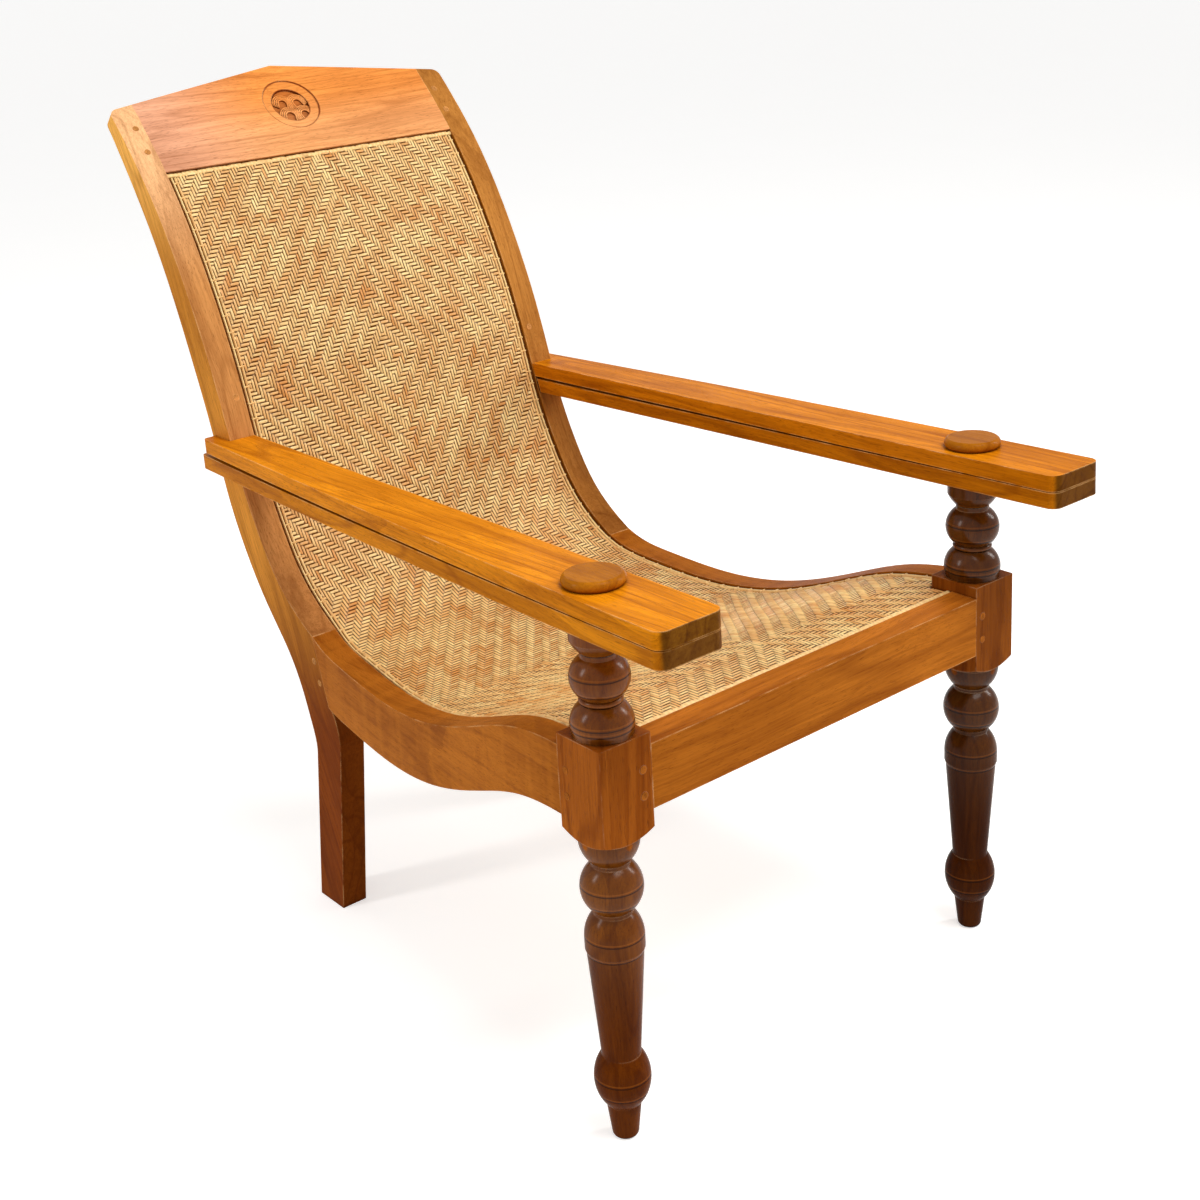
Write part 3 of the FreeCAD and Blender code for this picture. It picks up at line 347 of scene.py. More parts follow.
def wood_finish(name, colour, turn, place, figure=0.5, ring_width=6.0, flame=0.0,
                polish=0.36, coat=0.0, wear=0.8, sides=(), tones=(), rings=None,
                recess_shade=False):
    """Polished wood. turn brings the grain onto X. The faces across an axis can get their own
    tone, painted light or shade for how the light falls on them, and tones change the colour
    along an axis, painted sheen and shade among them. rings, a middle and two radii, paint
    shade on the cut edges of a round bed and inside it, and the recess switch paints shade on
    the low parts of a carving."""
    finish, tree, shader, coords = new_finish(name)
    objects = coords.outputs["Object"]
    along = stretched(tree, objects, (1, 1, 1), place, turn)
    base = (*colour, 1)
    for tone, axis, low, high in tones:
        level = component(tree, objects, axis)
        base = mix(tree, remap(tree, level, low, high), base, tone)
    grain = grouped(tree, shader_group("Wood grain", grain_group), Vector=along, Wood=base,
                    Figure=figure, Ring_Width=ring_width, Flame=flame, Roughness=polish)
    tone = grain.outputs["Color"]
    # painted light and shade: the faces across an axis toned for how the light falls on them
    for axis, side_shade in sides:
        across = sum_up(tree, "ABSOLUTE", component(tree, coords.outputs["Normal"], axis))
        tone = toned(tree, remap(tree, across, 0.55, 0.9, 0.0, 0.92), tone, side_shade)
    # painted shade: dark lines on the cut edges of the round bed, and the bed darker inside
    if rings:
        away = node(tree, "ShaderNodeVectorMath", {"operation": "DISTANCE"}, i0=objects,
                    i1=rings[0]).outputs["Value"]
        for radius in rings[1:]:
            off = sum_up(tree, "ABSOLUTE", sum_up(tree, "SUBTRACT", away, radius))
            tone = toned(tree, remap(tree, off, 1.8 * MM, 0.5 * MM, 0.0, 0.9), tone,
                         (0.35, 0.20, 0.15))
        inside = remap(tree, away, rings[2] + 0.5 * MM, rings[2] - 0.5 * MM, 0.0, 0.85)
        tone = toned(tree, inside, tone, (0.55, 0.42, 0.35))
    # painted shade: the low parts of a carving darker, by their rise
    if recess_shade:
        low = remap(tree, attribute(tree, "rise"), 0.85, 0.25, 0.0, 0.9)
        tone = toned(tree, low, tone, (0.30, 0.17, 0.12))
    rubbed = tuple(min(1.0, 0.35 * c + 0.5 * p) for c, p in zip(colour, (1.25, 0.80, 0.36)))
    worn = grouped(tree, shader_group("Wear and hollow shade", wear_group), Vector=objects, Color=tone,
                   Rubbed=rubbed, Edge_Wear=wear)
    feed(tree, shader.inputs["Base Color"], worn.outputs["Color"])
    feed(tree, shader.inputs["Roughness"], grain.outputs["Roughness"])
    shader.inputs["IOR"].default_value = WOOD_IOR
    shader.inputs["Coat Weight"].default_value = coat
    shader.inputs["Coat Roughness"].default_value = 0.2
    bump(tree, shader, grain.outputs["Height"], 0.25)
    return finish


def turned_finish(name, turned, block, place, half_width):
    """Dark glossy turned wood with cut lines round it, and the paler faces of its block. Painted
    shade darkens the cut lines and the post towards its foot; painted light brightens the
    turning above the block and draws a pale line above each cut.
    """
    finish, tree, shader, coords = new_finish(name)
    objects = coords.outputs["Object"]
    level = component(tree, objects, "Z")
    facing = node(tree, "ShaderNodeSeparateXYZ", None, Vector=coords.outputs["Normal"])
    across = sum_up(tree, "MAXIMUM", sum_up(tree, "ABSOLUTE", facing.outputs["X"]),
                    sum_up(tree, "ABSOLUTE", facing.outputs["Y"]))
    across = sum_up(tree, "MAXIMUM", across, facing.outputs["Z"])
    low, high = POST_BLOCK
    in_block = sum_up(tree, "MULTIPLY", remap(tree, level, low, low + 3 * MM),
                      remap(tree, level, high + 0.4 * MM, high - 0.4 * MM))
    flat = sum_up(tree, "MULTIPLY", in_block, remap(tree, across, 0.985, 0.999))
    # painted shade: the turned post darker towards its foot
    foot_shade_share = remap(tree, level, 0.30, 0.12)
    base = mix(tree, foot_shade_share, turned, times((0.72, 0.56, 0.3), turned))
    # painted light: the turning above the block lighter
    upper_light_share = remap(tree, level, 0.45, 0.47)
    base = mix(tree, upper_light_share, base, times((1.35, 1.35, 1.4), turned))
    base = mix(tree, flat, base, block)
    along = stretched(tree, objects, (1, 1, 1), place, (0, QUARTER, 0))
    grain = grouped(tree, shader_group("Wood grain", grain_group), Vector=along, Wood=base,
                    Figure=0.6, Ring_Width=9.0, Flame=0.0, Roughness=0.22)
    cuts = shader_group("Turned lines", line_group, TURNED_LINES, half_width)
    lines = grouped(tree, cuts, Height=level).outputs["Mask"]
    # painted shade: the cut lines darker, as shade inside the grooves; the same mask gives their
    # bump
    tone = mix(tree, sum_up(tree, "MULTIPLY", lines, 0.8), grain.outputs["Color"],
               mix(tree, 1.0, turned, (0.16, 0.12, 0.12), "MULTIPLY"))
    # painted highlight: a pale line just above each cut, where its edge catches the light
    above = sum_up(tree, "SUBTRACT", level, half_width * 3.2)
    rim_highlights = grouped(tree, cuts, Height=above).outputs["Mask"]
    tone = mix(tree, sum_up(tree, "MULTIPLY", rim_highlights, 0.25), tone,
               mix(tree, 1.0, block, (1.2, 1.3, 1.5), "MULTIPLY"))
    rubbed = tuple(0.55 * c + 0.32 * p for c, p in zip(block, (1.1, 0.8, 0.5)))
    worn = grouped(tree, shader_group("Wear and hollow shade", wear_group), Vector=objects, Color=tone,
                   Rubbed=rubbed, Edge_Wear=0.75)
    feed(tree, shader.inputs["Base Color"], worn.outputs["Color"])
    feed(tree, shader.inputs["Roughness"], grain.outputs["Roughness"])
    shader.inputs["IOR"].default_value = WOOD_IOR
    gloss = remap(tree, level, 0.12, 0.34, 0.04, 0.3)
    feed(tree, shader.inputs["Coat Weight"],
         sum_up(tree, "MULTIPLY", gloss, sum_up(tree, "SUBTRACT", 1.0, flat)))
    shader.inputs["Coat Roughness"].default_value = 0.22
    cut = sum_up(tree, "SUBTRACT", sum_up(tree, "MULTIPLY", grain.outputs["Height"], 0.2), lines)
    bump(tree, shader, cut, 0.7, 0.8 * MM)
    return finish


def peg_finish(name, colour):
    """End grain of the pegs."""
    finish, tree, shader, coords = new_finish(name)
    objects = coords.outputs["Object"]
    specks = noise(tree, objects, 900.0, 3.0, 0.6)
    cloud = noise(tree, objects, 120.0, 2.0)
    tone = mix(tree, remap(tree, specks, 0.4, 0.7), (*colour, 1),
               tuple(c * 0.35 for c in colour))
    tone = mix(tree, remap(tree, cloud, 0.35, 0.7, 0.0, 0.5), tone,
               tuple(c * 1.7 for c in colour))
    # painted shade in the hollows round the pegs, set strong here
    worn = grouped(tree, shader_group("Wear and hollow shade", wear_group), Vector=objects, Color=tone,
                   Rubbed=tuple(c * 2 for c in colour), Dirt=0.9)
    feed(tree, shader.inputs["Base Color"], worn.outputs["Color"])
    feed(tree, shader.inputs["Roughness"], remap(tree, specks, 0.3, 0.7, 0.35, 0.6))
    shader.inputs["IOR"].default_value = WOOD_IOR
    bump(tree, shader, specks, 0.4)
    return finish


def cane_finish(name, pale, tan, shade_colour, shine=0.42):
    """Split cane: a tone for each strand, fine fibres along it, and painted shade where it dips.
    """
    finish, tree, shader, _ = new_finish(name)
    laid = node(tree, "ShaderNodeUVMap", {"uv_map": "strand"}).outputs[0]
    fibres = noise(tree, stretched(tree, laid, (60, 1700, 1)), 1.0, 3.0, 0.6)
    patches = noise(tree, stretched(tree, laid, (70, 130, 1)), 1.0, 2.0)
    colour = mix(tree, attribute(tree, "tone"), tan, pale)
    colour = mix(tree, remap(tree, fibres, 0.40, 0.75, 0.0, 0.45), colour, tan)
    colour = mix(tree, remap(tree, patches, 0.5, 0.8, 0.0, 0.55), colour,
                 tuple(0.6 * c for c in tan))
    # painted shade: the strand darkened where it dips and at its edges, by its rise
    dip_shade = remap(tree, attribute(tree, "rise"), 0.52, 0.12, 0.0, 0.8)
    colour = mix(tree, dip_shade, colour, shade_colour)
    feed(tree, shader.inputs["Base Color"], colour)
    feed(tree, shader.inputs["Roughness"], remap(tree, patches, 0.3, 0.7, shine - 0.08,
                                                 shine + 0.14))
    shader.inputs["Specular IOR Level"].default_value = 0.35
    bump(tree, shader, fibres, 0.35, 0.2 * MM)
    return finish


def gap_shade_finish(colour):
    """Painted shade: the dark sheet seen between the strands."""
    finish, tree, shader, coords = new_finish("Cane gap shade")
    specks = noise(tree, coords.outputs["Object"], 500.0, 3.0)
    shade = mix(tree, remap(tree, specks, 0.35, 0.7), (*colour, 1), tuple(c * 2 for c in colour))
    feed(tree, shader.inputs["Base Color"], shade)
    feed(tree, shader.inputs["Roughness"], remap(tree, specks, 0.3, 0.7, 0.6, 0.9))
    shader.inputs["IOR"].default_value = WOOD_IOR
    bump(tree, shader, specks, 0.4)
    return finish


# the scoop of the seat


class Scoop:
    """The sitting side of the cane sheet: a smooth line from its front edge to its top."""

    def __init__(self):
        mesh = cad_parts["cane_seat"].data
        spots = set()
        for face in mesh.polygons:
            corners = [mesh.vertices[i].co for i in face.vertices]
            up = face.normal.dot(FACING_SITTER)
            if abs(face.normal.x) < 0.05 and up > 0.4 and face.normal.y > -0.98:
                spots.update((round(c.y, 6), round(c.z, 6)) for c in corners)
        line = np.array(sorted(spots))
        kept = [line[0]]
        for spot in line[1:-1]:
            if np.hypot(*(spot - kept[-1])) > 11 * MM:
                kept.append(spot)
        if np.hypot(*(line[-1] - kept[-1])) < 6 * MM:
            kept.pop()
        kept.append(line[-1])
        self.line = np.array(kept)
        steps = np.hypot(*np.diff(self.line, axis=0).T)
        self.reach = np.concatenate(([0], np.cumsum(steps)))
        self.bend = np.stack([self.bends(self.line[:, i]) for i in (0, 1)], axis=1)
        self.length = self.reach[-1]

    def bends(self, values):
        """Second derivatives of the natural cubic through the line's points."""
        h = np.diff(self.reach)
        size = len(values)
        rows = np.zeros((size, size))
        right = np.zeros(size)
        rows[0, 0] = rows[-1, -1] = 1
        for i in range(1, size - 1):
            rows[i, i - 1], rows[i, i], rows[i, i + 1] = h[i - 1], 2 * (h[i - 1] + h[i]), h[i]
            right[i] = 6 * ((values[i + 1] - values[i]) / h[i]
                            - (values[i] - values[i - 1]) / h[i - 1])
        return np.linalg.solve(rows, right)

    def at(self, reach):
        """Place and direction of the line at a length along it."""
        reach = np.clip(reach, 0, self.length)
        i = np.clip(np.searchsorted(self.reach, reach) - 1, 0, len(self.reach) - 2)
        h = self.reach[i + 1] - self.reach[i]
        b = ((reach - self.reach[i]) / h)[:, None]
        a = 1 - b
        h = h[:, None]
        low, high, m0, m1 = self.line[i], self.line[i + 1], self.bend[i], self.bend[i + 1]
        place = a * low + b * high + ((a**3 - a) * m0 + (b**3 - b) * m1) * h**2 / 6
        slope = (high - low) / h + (-(3 * a**2 - 1) * m0 + (3 * b**2 - 1) * m1) * h / 6
        return place, slope / np.linalg.norm(slope, axis=1)[:, None]

    def lay(self, spots):
        """Turns (across, along, out) into places in the chair."""
        place, way = self.at(spots[:, 1])
        out = spots[:, 2:3] * np.stack([-way[:, 1], way[:, 0]], axis=1)
        return np.column_stack([spots[:, 0], place + out])

    def reach_at(self, y, z):
        """Length along the line of the point nearest to y, z."""
        samples = np.linspace(0, self.length, 4000)
        place, _ = self.at(samples)
        return samples[np.argmin(np.hypot(place[:, 0] - y, place[:, 1] - z))]


def border_edges(scoop):
    """Lengths along the scoop from front to top, and the outer edge of the left border there."""
    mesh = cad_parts["cane_border_left"].data
    spots = np.array([v.co for v in mesh.vertices])
    samples = np.linspace(0, scoop.length, 1200)
    place, _ = scoop.at(samples)
    away = np.hypot(spots[:, 1, None] - place[:, 0], spots[:, 2, None] - place[:, 1])
    reach = samples[np.argmin(away, axis=1)]
    stations = np.linspace(reach.min(), reach.max(), 60)
    outer = [spots[np.abs(reach - s) < 16 * MM, 0].max() for s in stations]
    return stations, np.array(outer)


# mesh helpers


def deselect():
    bpy.ops.object.select_all(action="DESELECT")


def named(name):
    """The active object, under its name."""
    made = bpy.context.active_object
    made.name = made.data.name = name
    return made


def flat_grid(name, along, across):
    """A square grid of side 1 round the origin, with faces along X and across Y."""
    deselect()
    bpy.ops.mesh.primitive_grid_add(x_subdivisions=along, y_subdivisions=across, size=1)
    return named(name)


def spots_of(mesh):
    spots = np.zeros(len(mesh.vertices) * 3)
    mesh.vertices.foreach_get("co", spots)
    return spots.reshape(-1, 3)


def write_values(mesh, name, values):
    layer = mesh.attributes.new(name, "FLOAT", "POINT")
    layer.data.foreach_set("value", np.asarray(values, np.float32))


def write_laid(mesh, layer, laid):
    """Writes how far along and across its strand each corner lies, in metres."""
    loops = np.zeros(len(mesh.loops), int)
    mesh.loops.foreach_get("vertex_index", loops)
    layer.name = "strand"
    layer.data.foreach_set("uv", laid[loops].ravel())


def dress(piece, finish):
    """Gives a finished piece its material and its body."""
    piece.data.materials.clear()
    piece.data.materials.append(finish)
    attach(piece, "frame")


def apply_modifier(piece, kind, **settings):
    deselect()
    bpy.context.view_layer.objects.active = piece
    piece.select_set(True)
    modifier = piece.modifiers.new(kind.title(), kind)
    for key, value in settings.items():
        setattr(modifier, key, value)
    bpy.ops.object.modifier_apply(modifier=modifier.name)


# the woven cane


def over_runs(over):
    """Start and length of each run of True along the last axis."""
    padded = np.pad(over, ((0, 0), (1, 1))).astype(int)
    change = np.diff(padded, axis=1)
    rows, starts = np.nonzero(change == 1)
    _, ends = np.nonzero(change == -1)
    return rows, starts, ends - starts


def patchy(x, v, chance):
    """A slow change over the sheet in patches of about 45 mm, from about -1 to 1."""
    waves = chance.uniform(-1, 1, (14, 2)) * 2 * math.pi / (45 * MM)
    turns = np.outer(x, waves[:, 0]) + np.outer(v, waves[:, 1])
    return np.sin(turns + chance.uniform(0, 6.28, 14)).sum(axis=1) / 3.7


# columns of the table of floats, the stretches of a strand that lie on top
ACROSS, ALONG, LENGTH, WIDTH, LENGTHWISE, TONE, LIFT = range(7)
HALF_SHEET = 276 * MM            # half the widest part of the weave
TURN_EVERY = 55                  # crosswise strands from one turn of the zigzag to the next
END_TUCK = 0.36                  # how far a float runs on at its ends, in strands
WARP_WIDTH, WEFT_WIDTH = 0.80, 0.72   # shares of the pitch
PRESSED = (0.45, 0.70)           # crosswise strands lie flat up to the first, full from the last


def strand_floats(scoop, cane, underside):
    """The table of floats, one row each. LENGTHWISE is 1 or 0."""
    across, along = cane.pitch_across, cane.pitch_along
    middle = border_reach(scoop, "top") - cane.top_diamond
    warps = np.arange(-int(HALF_SHEET / across), int(HALF_SHEET / across) + 1)
    first = -int(middle / along) + 1
    wefts = np.arange(first, int((scoop.length - middle) / along))
    climb = np.abs((wefts + TURN_EVERY) % (2 * TURN_EVERY) - TURN_EVERY)
    over = ((np.abs(warps)[:, None] + climb[None, :]) % 6) < 3
    if underside:
        over = ~over
    chance = np.random.default_rng(7 + underside)
    warp_tone = chance.normal(0.56, 0.12, len(warps))
    weft_tone = chance.normal(0.58, 0.12, len(wefts))
    i, j, n = over_runs(over)
    x = warps[i] * across
    v = middle + (wefts[j] + (n - 1) / 2) * along
    lengthwise = np.column_stack([x, v, (n + END_TUCK) * along,
                                  np.full(len(x), WARP_WIDTH * across),
                                  np.ones(len(x)), warp_tone[i]])
    j, i, n = over_runs(~over.T)
    x = (warps[i] + (n - 1) / 2) * across
    v = middle + wefts[j] * along
    crosswise = np.column_stack([x, v, (n + END_TUCK) * across,
                                 np.full(len(x), WEFT_WIDTH * along),
                                 np.zeros(len(x)), weft_tone[j]])
    floats = np.concatenate([lengthwise, crosswise])
    size = len(floats)
    floats[:, ACROSS] += chance.normal(0, 0.10 * MM, size)
    floats[:, ALONG] += chance.normal(0, 0.10 * MM, size)
    floats[:, WIDTH] *= chance.normal(1, 0.05, size)
    change = 0.20 * patchy(floats[:, ACROSS], floats[:, ALONG], chance)
    change = change + chance.normal(0, 0.11, size)
    # painted shade: crosswise strands on the seat lie lower and are toned a little darker
    pressed_and_shaded = np.interp(floats[:, ALONG], PRESSED, (1, 0)) * (1 - floats[:, LENGTHWISE])
    floats[:, TONE] = np.clip(floats[:, TONE] + change - 0.08 * pressed_and_shaded, 0, 1)
    return np.column_stack([floats, 1 - 0.5 * pressed_and_shaded])


def border_reach(scoop, name):
    """Length along the scoop of the middle of the top or front border."""
    low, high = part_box(f"cane_border_{name}")
    return scoop.reach_at((low.y + high.y) / 2, (low.z + high.z) / 2)


def trimmed(middle, length, low, high):
    """Middle and length of spans cut off at their lowest and highest place."""
    start = np.maximum(middle - length / 2, low)
    end = np.minimum(middle + length / 2, high)
    return (start + end) / 2, end - start


def inside_frame(scoop, floats):
    """The floats that show, cut off at the posts and under the front, top and side borders."""
    stations, outer = border_edges(scoop)
    post_end = scoop.reach_at(POST_REAR, SEAT_LEVEL) + 2 * MM
    limit = np.interp(floats[:, ALONG], stations, outer) - 8.5 * MM
    limit = np.where(floats[:, ALONG] < post_end, -POST_INNER - 1.5 * MM, limit)
    front = border_reach(scoop, "front") - 1 * MM
    top = border_reach(scoop, "top") + 1 * MM
    lengthwise = floats[:, LENGTHWISE] == 1
    length, width = floats[:, LENGTH], floats[:, WIDTH]
    x, across = trimmed(floats[:, ACROSS], np.where(lengthwise, width, length), -limit, limit)
    v, along = trimmed(floats[:, ALONG], np.where(lengthwise, length, width), front, top)
    cut = np.column_stack([x, v, np.where(lengthwise, along, across),
                           np.where(lengthwise, across, along), floats[:, LENGTHWISE:]])
    return cut[(across > 1.2 * MM) & (along > 1.2 * MM)]


def strand_pattern():
    """One strand where it lies on top: crowned across, sinking at both ends."""
    piece = flat_grid("strand", 4, 2)
    spots = spots_of(piece.data)
    from_middle = np.abs(spots[:, 0]) / 0.5
    side = np.abs(spots[:, 1]) / 0.5
    end, shoulder = from_middle > 0.9, from_middle > 0.4
    rise = np.where(end, 0.0, np.where(shoulder, 0.84, 1.0))
    rise = rise * (1 - 0.75 * side) + np.where(end, -0.08, 0)
    inner = np.sign(spots[:, 0]) * np.where(shoulder, 0.36, 0)
    spots[:, 0] = np.where(end, spots[:, 0], inner)
    pattern = np.column_stack([spots[:, :2], rise])
    faces = np.array([list(face.vertices) for face in piece.data.polygons])
    bpy.data.objects.remove(piece)
    return pattern, faces


def lay_strands(name, scoop, floats, cane, underside):
    """A piece of the weave: the strand pattern laid down once for each float."""
    pattern, faces = strand_pattern()
    count, corners = len(floats), len(pattern)
    chance = np.random.default_rng(count)
    columns = floats.T[:, :, None]
    a = pattern[None, :, 0] * columns[LENGTH]
    b = pattern[None, :, 1] * columns[WIDTH]
    flip = -1 if underside else 1
    lengthwise = columns[LENGTHWISE] == 1
    x = columns[ACROSS] + np.where(lengthwise, -b * flip, a)
    v = columns[ALONG] + np.where(lengthwise, a, b * flip)
    lift = cane.rise * floats[:, LIFT] * chance.normal(1, 0.07, count)
    rise = lift[:, None] * pattern[None, :, 2]
    base = -cane.thickness - 0.25 * MM if underside else 0.25 * MM
    out = base + flip * rise
    spots = scoop.lay(np.column_stack([x.ravel(), v.ravel(), out.ravel()]))
    shift = (np.arange(count) * corners)[:, None, None]
    mesh = bpy.data.meshes.new(name)
    mesh.from_pydata(spots.tolist(), [], (faces[None] + shift).reshape(-1, 4).tolist())
    write_values(mesh, "tone", np.repeat(floats[:, TONE], corners))
    # rise also paints shade where a strand dips, in the cane finish
    write_values(mesh, "rise", np.tile(pattern[:, 2], count))
    mark = chance.uniform(0, 9, count)[:, None]
    laid = np.stack([a + mark, b + mark], axis=2).reshape(-1, 2)
    write_laid(mesh, mesh.uv_layers.new(name="strand"), laid)
    mesh.polygons.foreach_set("use_smooth", np.ones(len(mesh.polygons), bool))
    piece = bpy.data.objects.new(name, mesh)
    bpy.context.collection.objects.link(piece)
    return piece


class WeaveCane(bpy.types.Operator):
    """Lays the twill of split cane on both sides of the sheet"""

    bl_idname = "planters_chair.weave_cane"
    bl_label = "Weave the cane"

    def execute(self, context):
        cane = context.scene.chair_cane
        scoop = Scoop()
        finish = cane_finish("Split cane", cane.pale, cane.tan, cane.core)
        dip = scoop.reach_at(200 * MM, 400 * MM)     # where the seat turns up into the back
        for underside, side in ((False, "top"), (True, "under")):
            floats = inside_frame(scoop, strand_floats(scoop, cane, underside))
            on_seat = floats[:, ALONG] < dip
            for part, chosen in (("seat", on_seat), ("back", ~on_seat)):
                piece = lay_strands(f"cane_{part}_{side}", scoop, floats[chosen], cane,
                                    underside)
                dress(piece, finish)
        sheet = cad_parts["cane_seat"]
        # the sheet under the strands takes the painted shade between them
        sheet.material_slots[0].material = gap_shade_finish(cane.core)
        return {"FINISHED"}


# the border strips


def lay_strip(name, scoop, reach, across, width, rise, faces_along, segment=None, tone=0.65):
    """A crowned strip whose middle runs through the points given by reach and across. It is
    drawn in at the end of each segment."""
    piece = flat_grid(name, faces_along, 4)
    spots = spots_of(piece.data)
    share = spots[:, 0] + 0.5
    side = spots[:, 1] * 2
    stations = np.linspace(0, 1, len(reach))
    v = np.interp(share, stations, reach)
    x = np.interp(share, stations, across)
    after, before = np.clip(share + 0.004, 0, 1), np.clip(share - 0.004, 0, 1)
    ahead = np.interp(after, stations, reach) - np.interp(before, stations, reach)
    aside = np.interp(after, stations, across) - np.interp(before, stations, across)
    size = np.hypot(ahead, aside)
    length = np.sum(np.hypot(np.diff(reach), np.diff(across)))
    count = share * length / (segment or length)
    pinch = np.clip((np.abs(count % 1 - 0.5) * 2 - 0.80) / 0.20, 0, 1) * (segment is not None)
    width = width * (1 - 0.2 * pinch)
    x_side = x + side * width / 2 * ahead / size
    v_side = v - side * width / 2 * aside / size
    out = 0.1 * MM + rise * (1 - 0.7 * pinch) * np.sqrt(np.clip(1 - side**2, 0, 1))
    laid = scoop.lay(np.column_stack([x_side, v_side, out]))
    piece.data.vertices.foreach_set("co", laid.ravel())
    piece.data.update()
    write_values(piece.data, "tone", tone + 0.2 * np.sin(share * 40 + x * 900 + count // 1 * 2))
    # rise also paints shade at the strip's edges and where it is drawn in, in the cane finish
    write_values(piece.data, "rise", 1 - 0.5 * side**2 - 0.6 * pinch)
    flat = np.column_stack([share * length, side * width / 2 + x[0] * 3])
    write_laid(piece.data, piece.data.uv_layers[0], flat)
    return piece


def face_out(piece):
    """Turns a strip so that its faces look towards the sitter."""
    middle = piece.data.polygons[len(piece.data.polygons) // 2]
    if middle.normal.dot(FACING_SITTER) < 0:
        deselect()
        bpy.context.view_layer.objects.active = piece
        piece.select_set(True)
        bpy.ops.object.mode_set(mode="EDIT")
        bpy.ops.mesh.select_all(action="SELECT")
        bpy.ops.mesh.flip_normals()
        bpy.ops.object.mode_set(mode="OBJECT")


def joined(name, pieces):
    """Several meshes made one, under a new name."""
    deselect()
    for piece in pieces:
        piece.select_set(True)
    bpy.context.view_layer.objects.active = pieces[0]
    bpy.ops.object.join()
    return named(name)


def finish_strips(piece, name, finish):
    """Gives strips their thickness and puts them in the place of the plain border."""
    bpy.ops.object.shade_smooth()
    apply_modifier(piece, "SOLIDIFY", thickness=0.5 * MM, offset=-1)
    dress(piece, finish)
    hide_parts(f"cane_border_{name}")


# inset from the sheet's outer edge, width and tone of the two strips along each side
SIDE_STRIPS = ((5.4 * MM, 3.4 * MM, 0.95), (10.2 * MM, 4.0 * MM, 0.6))
LASHING_EVERY = 23 * MM
LASHING_REACH = (12.6 * MM, 3.4 * MM)    # how far from the outer edge a lashing starts and ends


class LayBorders(bpy.types.Operator):
    """Lays the cane strips over the edges of the weave"""

    bl_idname = "planters_chair.lay_borders"
    bl_label = "Lay the border strips"

    def execute(self, context):
        cane = context.scene.chair_cane
        scoop = Scoop()
        finish = cane_finish("Cane strip", tuple(0.95 * c for c in cane.pale), cane.tan,
                             cane.core, shine=0.36)
        stations, outer = border_edges(scoop)
        for side, name in ((1, "left"), (-1, "right")):
            strips = []
            for inset, width, tone in SIDE_STRIPS:
                strips.append(lay_strip("strip", scoop, stations, side * (outer - inset), width,
                                        2.2 * MM, 300, tone=tone))
            chance = np.random.default_rng(3)
            for spot in np.arange(stations[0] + 10 * MM, stations[-1], LASHING_EVERY):
                spot += chance.normal(0, 1.8 * MM)
                edge = np.interp(spot, stations, outer)
                start, end = (edge - reach for reach in LASHING_REACH)
                strips.append(lay_strip("lashing", scoop, np.full(7, spot),
                                        side * np.linspace(start, end, 7), 3.0 * MM, 3.0 * MM,
                                        6))
            for strip in strips:
                face_out(strip)
            finish_strips(joined(f"border_{name}", strips), name, finish)
        for name, width, rise, segment in (
                ("top", 6.8 * MM, 1.9 * MM, 22 * MM),
                ("front", 7.6 * MM, 2.6 * MM, 6 * cane.pitch_across)):
            low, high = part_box(f"cane_border_{name}")
            across = np.linspace(low.x, high.x, 80)
            wave = 0.35 * MM * np.sin(across * 190) + 0.2 * MM * np.sin(across * 431)
            piece = lay_strip(f"border_{name}", scoop, border_reach(scoop, name) + wave, across,
                              width, rise, 260, segment, tone=0.8)
            face_out(piece)
            finish_strips(piece, name, finish)
        return {"FINISHED"}


# the carved medallion


class Medallion:
    """The floor of the crest's round bed: X across, Y up the crest, Z out of it."""

    def __init__(self):
        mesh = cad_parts["crest_rail"].data
        floors = {}
        for face in mesh.polygons:
            corners = [mesh.vertices[i].co for i in face.vertices]
            if face.normal.y < -0.5 and max(abs(c.x) for c in corners) < 30 * MM:
                key = tuple(round(value, 3) for value in face.normal)
                floors.setdefault(key, []).extend(corners)
        corners = max(floors.values(), key=len)
        facing = max(floors, key=lambda key: len(floors[key]))
        spots = {tuple(round(value, 6) for value in corner) for corner in corners}
        self.middle = sum((Vector(spot) for spot in spots), Vector()) / len(spots)
        self.radius = max((Vector(spot) - self.middle).length for spot in spots)
        self.rim = self.radius * 1.497       # the cut edge of the dish round the bed
        out = Vector(facing).normalized()
        across = Vector((1, 0, 0))
        axes = Matrix((across, out.cross(across), out)).transposed().to_4x4()
        self.place = Matrix.Translation(self.middle) @ axes


# middle of each arch across and up the bed, its lean in degrees and its radius, in mm
ARCHES = ((-9.8, 4.5, -15, 5.4), (12.5, 3.0, 15, 5.6), (-7.2, -17.2, -15, 6.0),
          (15.5, -17.0, 15, 5.6))
RIDGE_LEVELS = (0.9, 0.6, 0.3, 0.1)   # height over the bed of an arch's ridges, inner to outer


